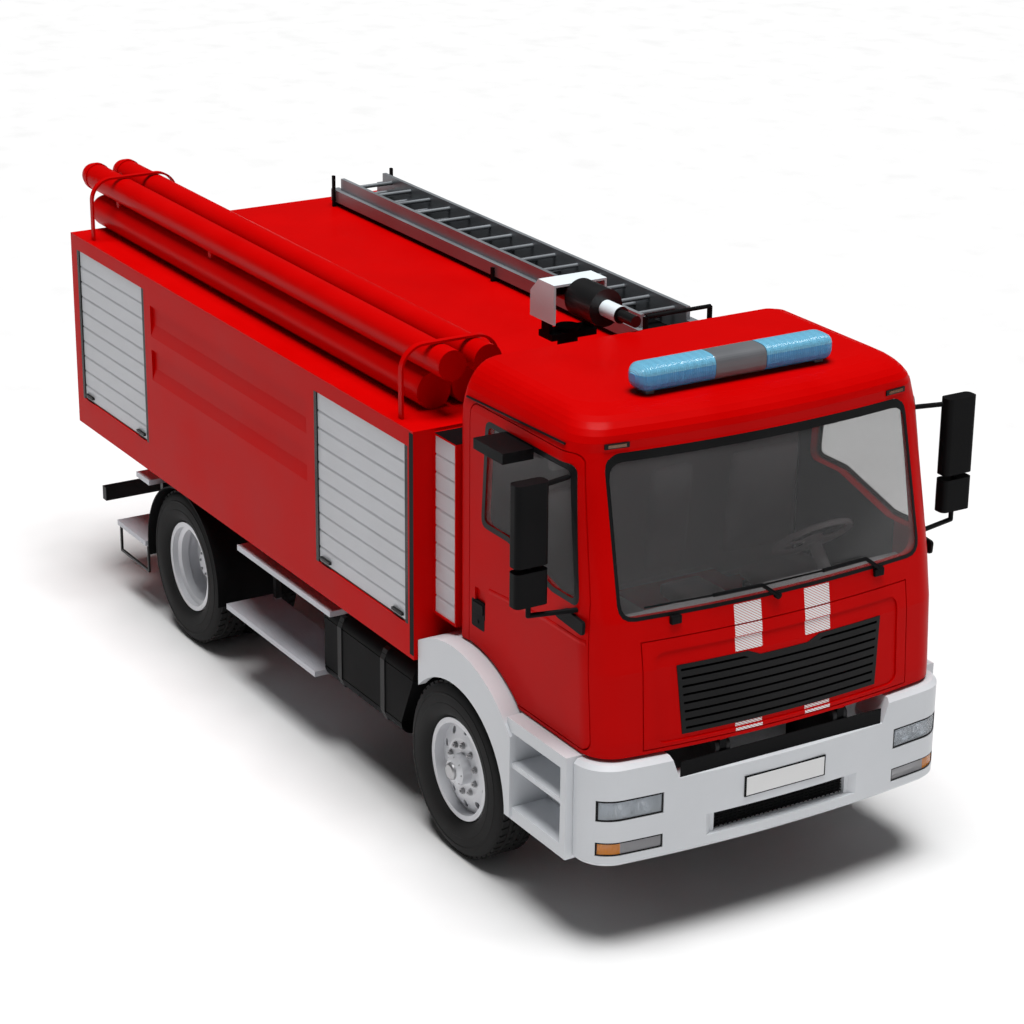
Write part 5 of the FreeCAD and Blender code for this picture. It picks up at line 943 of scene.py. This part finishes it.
CREASE_ROWS = ((-0.022, 0.0002), (-0.004, 0.0045), (0.006, 0.0030), (0.010, 0.0002))
rail_places = list(zip(spread(2.02, 3.00, 14), spread(2.738, 2.764, 14)))
for side, word, short in SIDES:
    grid = [[(x, -door_skin(x, crease(x, up)) - proud, crease(x, up)) for x in spread(2.290, 3.245, 24)]
            for up, proud in CREASE_ROWS]
    ridge = Shape().sheet(grid, 0.0006)
    rail = Shape().tube([(x, -door_skin(x, z) - 0.004, z) for x, z in rail_places], 0.0065, 8)
    if side == 1:
        ridge, rail = flipped(ridge), flipped(rail)
    ridge.make(f"crease_{word}", f"door_{short}", red_paint, slot="cab_red")
    rail.make(f"drip_rail_{word}", "cab", seal_black, slot="trim_black")

# %% [markdown]
# ## Mirror glass
# Each head is a moulded shell with a mirror in its rear face. The glass sits in a shallow frame, so it
# is a thin slab just behind the shell's face, with a nearly perfect metal finish.

# %% Mirror glasses
mirror_glass = finish("mirror_glass", (0.80, 0.82, 0.84), 0.03, metal=1.0, drift=0.01, grain=(10.0, 0.001))
MIRROR_BACK, MIRROR_INNER, MIRROR_OUTER = 3.110 - 0.045, 1.318, 1.482
for side, word, short in SIDES:
    glass = Shape()
    inner, outer = side * MIRROR_INNER, side * MIRROR_OUTER
    for low, high in ((2.215, 2.615), (1.990, 2.140)):
        outline = rounded([(inner, low), (outer, low), (outer, high), (inner, high)], 0.02)
        glass.prism(outline, "x", MIRROR_BACK - 0.004, MIRROR_BACK)
    glass.make(f"mirror_glass_{word}", f"door_{short}", mirror_glass, bevel=0.0015)

# %% [markdown]
# ## The light bar
# Two blue domes flank a grey middle box. The bar is a long loaf, rounded all round, so its section is a
# soft square: the power in the formula below pushes a circle out towards its corners. Near both ends the
# section shrinks as the edge of a ball does. The domes are ribbed, which scatters the light, so every
# other ring of them is drawn in a little. The plastic is clear, with the blue in its body: partly
# see-through, with a coat.

# %% Light bar
# The domes' upper band is painted a lighter blue: a painted highlight where the light from above falls on
# them.
DOME_TOP_HIGHLIGHT = (0.20, 0.56, 0.80)
blue_dome = lamp_cover("blue_dome", (0.04, 0.36, 0.74), 0.96, zones=(({"z": (3.030, 3.10)}, DOME_TOP_HIGHLIGHT),))
bar_grey = finish("bar_grey", (0.13, 0.135, 0.145), 0.4, drift=0.1, grain=(220.0, 0.05))
BAR_X, BAR_Z, BAR_DEEP, BAR_TALL, BAR_END, BAR_ROUND = 2.880, 3.005, 0.186, 0.147, 0.640, 0.075
FOOT_Y, RIB = 0.550, 0.030


def eased(value):
    """Pushes a cosine or sine outwards and keeps its sign."""
    return math.copysign(abs(value) ** 0.62, value)


bar_section = [(eased(math.cos(turn)) * BAR_DEEP / 2, eased(math.sin(turn)) * BAR_TALL / 2)
               for turn in (step * math.tau / 32 for step in range(32))]


def swept(low, high, count, ribs):
    """The bar's section swept along Y, with ribs, and rounded off where it comes near the bar's ends."""
    corners, size = [], len(bar_section)
    for step, y in enumerate(spread(low, high, count)):
        late = max(0.0, 1.0 - (BAR_END - abs(y)) / BAR_ROUND)
        edge = math.sqrt(1.0 - late * late) * (1.0 - ribs * (step % 2))
        corners += [(BAR_X + a * edge, y, BAR_Z + b * edge) for a, b in bar_section]
    return Shape().add(corners, ring_faces(count, size) + end_faces(count, size))


middle = swept(-0.165, 0.165, 4, 0.0)
for y in (-FOOT_Y, FOOT_Y):
    middle.block((BAR_X - 0.045, BAR_X + 0.045), (y - 0.028, y + 0.028), (2.9155, 2.942))
bar_body = middle.make("light_bar_middle", "cab", bar_grey, bevel=0.004, slot="beacon_blue")
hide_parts("light_bar")
swept(-0.637, -0.167, 77, RIB).make("light_dome_right", "cab", blue_dome, slot="beacon_blue")
swept(0.167, 0.637, 77, RIB).make("light_dome_left", "cab", blue_dome, slot="beacon_blue")

# %% [markdown]
# ## Small black parts
# Two squat blocks below the windscreen's corners carry the washer jets. A dark panel closes the bumper's
# dip, so nobody looks in on the cab's tilt pins, and a hoop over the front end of the ladders keeps them
# down.

# %% Washer blocks, dip panel and ladder hoop
blocks = Shape()
for y in (-0.670, 0.665):
    face = cab_skin(y, 1.835)
    blocks.block((face - 0.008, face + 0.022), (y - 0.033, y + 0.033), (1.811, 1.859))
blocks.make("washer_blocks", "cab", moulded_black, bevel=0.006, slot="trim_black")
dip = Shape().block((3.480, 3.486), (-0.670, 0.670), (0.925, 1.050))
dip.make("dip_panel", "chassis", moulded_black, bevel=0.002, slot="trim_black")
HOOP_X, HOOP_Z, HOOP_FOOT, HOOP_RADIUS = 1.112, 2.683, 2.500, 0.013
hoop_path = [(0.646, HOOP_FOOT), (0.646, HOOP_Z), (1.114, HOOP_Z), (1.114, HOOP_FOOT)]
hoop = Shape()
for start, end in zip(hoop_path, hoop_path[1:]):
    hoop.tube([(HOOP_X, *start), (HOOP_X, *end)], HOOP_RADIUS)
hoop.make("ladder_hoop", "chassis", box_black, smooth=True, slot="box_black")

# %% [markdown]
# ## Marker lamps
# Two slim lamps sit above the windscreen's corners, black frames with an amber glass. Each is a small
# sheet laid on the skin function, so it follows the cab's bow.

# %% Marker lamps
amber = lamp_cover("amber", (0.20, 0.06, 0.01), 0.9)
MARKER_Y, MARKER_Z, SKIN_TOP = 0.905, 2.762, 2.720
holders, ambers = Shape(), Shape()
for y in (-MARKER_Y, MARKER_Y):
    for shape, proud, half, up in ((holders, 0.008, 0.070, 0.014), (ambers, 0.011, 0.052, 0.008)):
        grid = [[(cab_skin(b, SKIN_TOP) + proud, b, c) for b in spread(y - half, y + half, 6)]
                for c in (MARKER_Z - up, MARKER_Z + up)]
        shape.sheet(grid, 0.010)
holders.make("marker_holders", "cab", seal_black, slot="trim_black")
ambers.make("marker_lamps", "cab", amber)

# %% [markdown]
# ## Seats
# A cab seat is foam under cloth: crowned in the middle, drawn in at its seams, with a raised bolster on
# either side. A closed grid that bulges by a smooth law gives that form directly, and a subdivision
# modifier rounds it. The pedestal below stays a plain moulded box.

# %% Seat makers
def weave(tree, place, parts):
    """A tight cloth weave."""
    lengthwise = math_node(tree, "ADD", parts["x"], parts["z"])
    first, second = [math_node(tree, "SINE", math_node(tree, "MULTIPLY", value, 1400.0))
                     for value in (parts["y"], lengthwise)]
    return math_node(tree, "MULTIPLY", first, second)


seat_cloth = finish("seat_cloth", (0.42, 0.42, 0.43), 0.85, drift=0.2, grain=(300.0, 0.05), relief=weave)


def cushion(name, centre, size, lean, body):
    """A padded block: crowned on all sides, with two sewn channels along its length."""
    columns, rows = 13, 9
    corners, faces = [], []
    turn = Matrix.Rotation(lean, 4, "Y")
    for face in (1, -1):
        for row in range(rows):
            for column in range(columns):
                a, b = 2 * row / (rows - 1) - 1, 2 * column / (columns - 1) - 1
                crown = (1 - abs(a) ** 4) * (1 - abs(b) ** 4)
                seam = 0.10 * math.exp(-((abs(b) - 0.55) / 0.07) ** 2)
                bolster = 0.16 * max(abs(b) - 0.62, 0) * (face > 0)
                pull = 1 - 0.04 * (1 - crown)
                height = face * (0.52 + 0.48 * crown - seam * crown + bolster) * size[2] / 2
                point = Vector((a * size[0] / 2 * pull, b * size[1] / 2 * pull, height))
                corners.append(turn @ point + Vector(centre))
    for layer in (0, 1):
        start = layer * rows * columns
        for row in range(rows - 1):
            for column in range(columns - 1):
                a = start + row * columns + column
                quad = (a, a + columns, a + columns + 1, a + 1)
                faces.append(quad if layer else tuple(reversed(quad)))
    count = rows * columns
    rim = grid_rim(rows, columns)
    for index, here in enumerate(rim):
        after = rim[(index + 1) % len(rim)]
        faces.append((here, after, count + after, count + here))
    made = piece(name, corners, faces, body, seat_cloth, smooth=True, slot="seat_fabric")
    soft = made.modifiers.new("foam", "SUBSURF")
    soft.levels = soft.render_levels = 2
    return made


# %% Seats
SEAT_FRONT, SEAT_BASE = 2.890, 1.480
BACK_Z, REST_Z, BACK_LEAN, REST_LEAN = 1.930, 2.405, math.radians(-84.3), math.radians(-88)
POST_X, POST_HALF, TRAY_X, TRAY_HALF = (2.622, 2.858), 0.118, (2.46, 2.87), 0.20
pedestals = Shape()
for y, word, half in ((-0.640, "right", 0.240), (0.0, "middle", 0.135), (0.640, "left", 0.240)):
    base = cushion(f"seat_cushion_{word}", (SEAT_FRONT - 0.225, y, SEAT_BASE + 0.078),
                   (0.450, half * 2, 0.125), 0.0, "cab")
    cushion(f"seat_back_{word}", (SEAT_FRONT - 0.557, y, BACK_Z),
            (0.660, half * 1.96, 0.110), BACK_LEAN, "cab")
    if word == "middle":
        pedestals.block(POST_X, (-0.066, 0.066), (1.4316, 1.490))
    else:
        cushion(f"seat_rest_{word}", (SEAT_FRONT - 0.605, y, REST_Z),
                (0.170, 0.250, 0.085), REST_LEAN, "cab")
        pedestals.block(POST_X, (y - POST_HALF, y + POST_HALF), (1.1756, 1.478))
        pedestals.block(TRAY_X, (y - TRAY_HALF, y + TRAY_HALF), (1.455, 1.500))
    if word == "left":
        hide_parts("seats")
pedestals.make("seat_pedestals", "cab", moulded_black, bevel=0.006)

# %% [markdown]
# ## Tail lamps
# The rear lamp blocks carry red, orange and clear chambers side by side under one fluted cover. The
# block itself is a CAD solid, so zones along its width colour it. The CAD solids that new pieces replace
# are dressed here too, for a viewer that shows the plain frame.

# %% Tail lamps
TAIL_ZONES = (({"side": (1.10, 1.30)}, (0.85, 0.25, 0.0)), ({"side": (0.94, 1.00)}, (0.75, 0.75, 0.75)))
tail_cover = lamp_cover("tail_cover", (0.50, 0.01, 0.01), 1.0, zones=TAIL_ZONES)
dress(tail_cover, "tail_lamps")
dress(moulded_black, "seats", "light_bar", "front_lamps")
dress(rubber, "front_tyre_left", "front_tyre_right", "rear_tyres_left", "rear_tyres_right")

# %% [markdown]
# ## Straps on the side boxes
# Each black box is slung in two steel straps. A strap is a flat band that goes round three sides, so its
# outline is the box's own section, a little larger, pushed along X.

# %% Box straps
BOX_LOW, BOX_HIGH, BOX_FACE = 0.470, 0.960, 1.205
STRAP_X, STRAP_HALF = (0.640, 1.180), 0.025


def strap_end(reach):
    """One end of a strap, as steps out and up from an edge of the box."""
    return [(-0.006, 0.080), (0.018, 0.020), (0.080, -0.006), (reach, -0.006), (reach, -0.001),
            (0.082, -0.001), (0.023, 0.025), (-0.001, 0.082)]


straps = Shape()
outline = [(out - BOX_FACE, BOX_LOW + up) for out, up in strap_end(0.40)]
outline += [(out - BOX_FACE, BOX_HIGH - up) for out, up in reversed(strap_end(0.30))]
for x in STRAP_X:
    straps.prism(outline, "x", x - STRAP_HALF, x + STRAP_HALF)
straps.both().make("box_straps", "chassis", chassis_black, slot="box_black")

# %% [markdown]
# ## The floor
# The studio floor is a wide pale sheet. It is marked as stage, so it isn't counted as part of the truck.

# %% Floor
floor_finish = finish("floor_finish", (0.84, 0.84, 0.84), 0.6, drift=0.01, grain=(20.0, 0.005))
floor_mesh = bpy.data.meshes.new("floor")
FLOOR_CORNERS = [(-60, -60, 0), (60, -60, 0), (60, 60, 0), (-60, 60, 0)]
floor_mesh.from_pydata(FLOOR_CORNERS, [], [(0, 1, 2, 3)])
floor_mesh.materials.append(floor_finish)
floor = bpy.data.objects.new("floor", floor_mesh)
floor.location.z = -0.001
bpy.context.scene.collection.objects.link(floor)
floor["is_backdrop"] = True

# %% Sizes and finish
low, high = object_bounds()
print("visual box:", [round(v, 3) for v in low], [round(v, 3) for v in high])
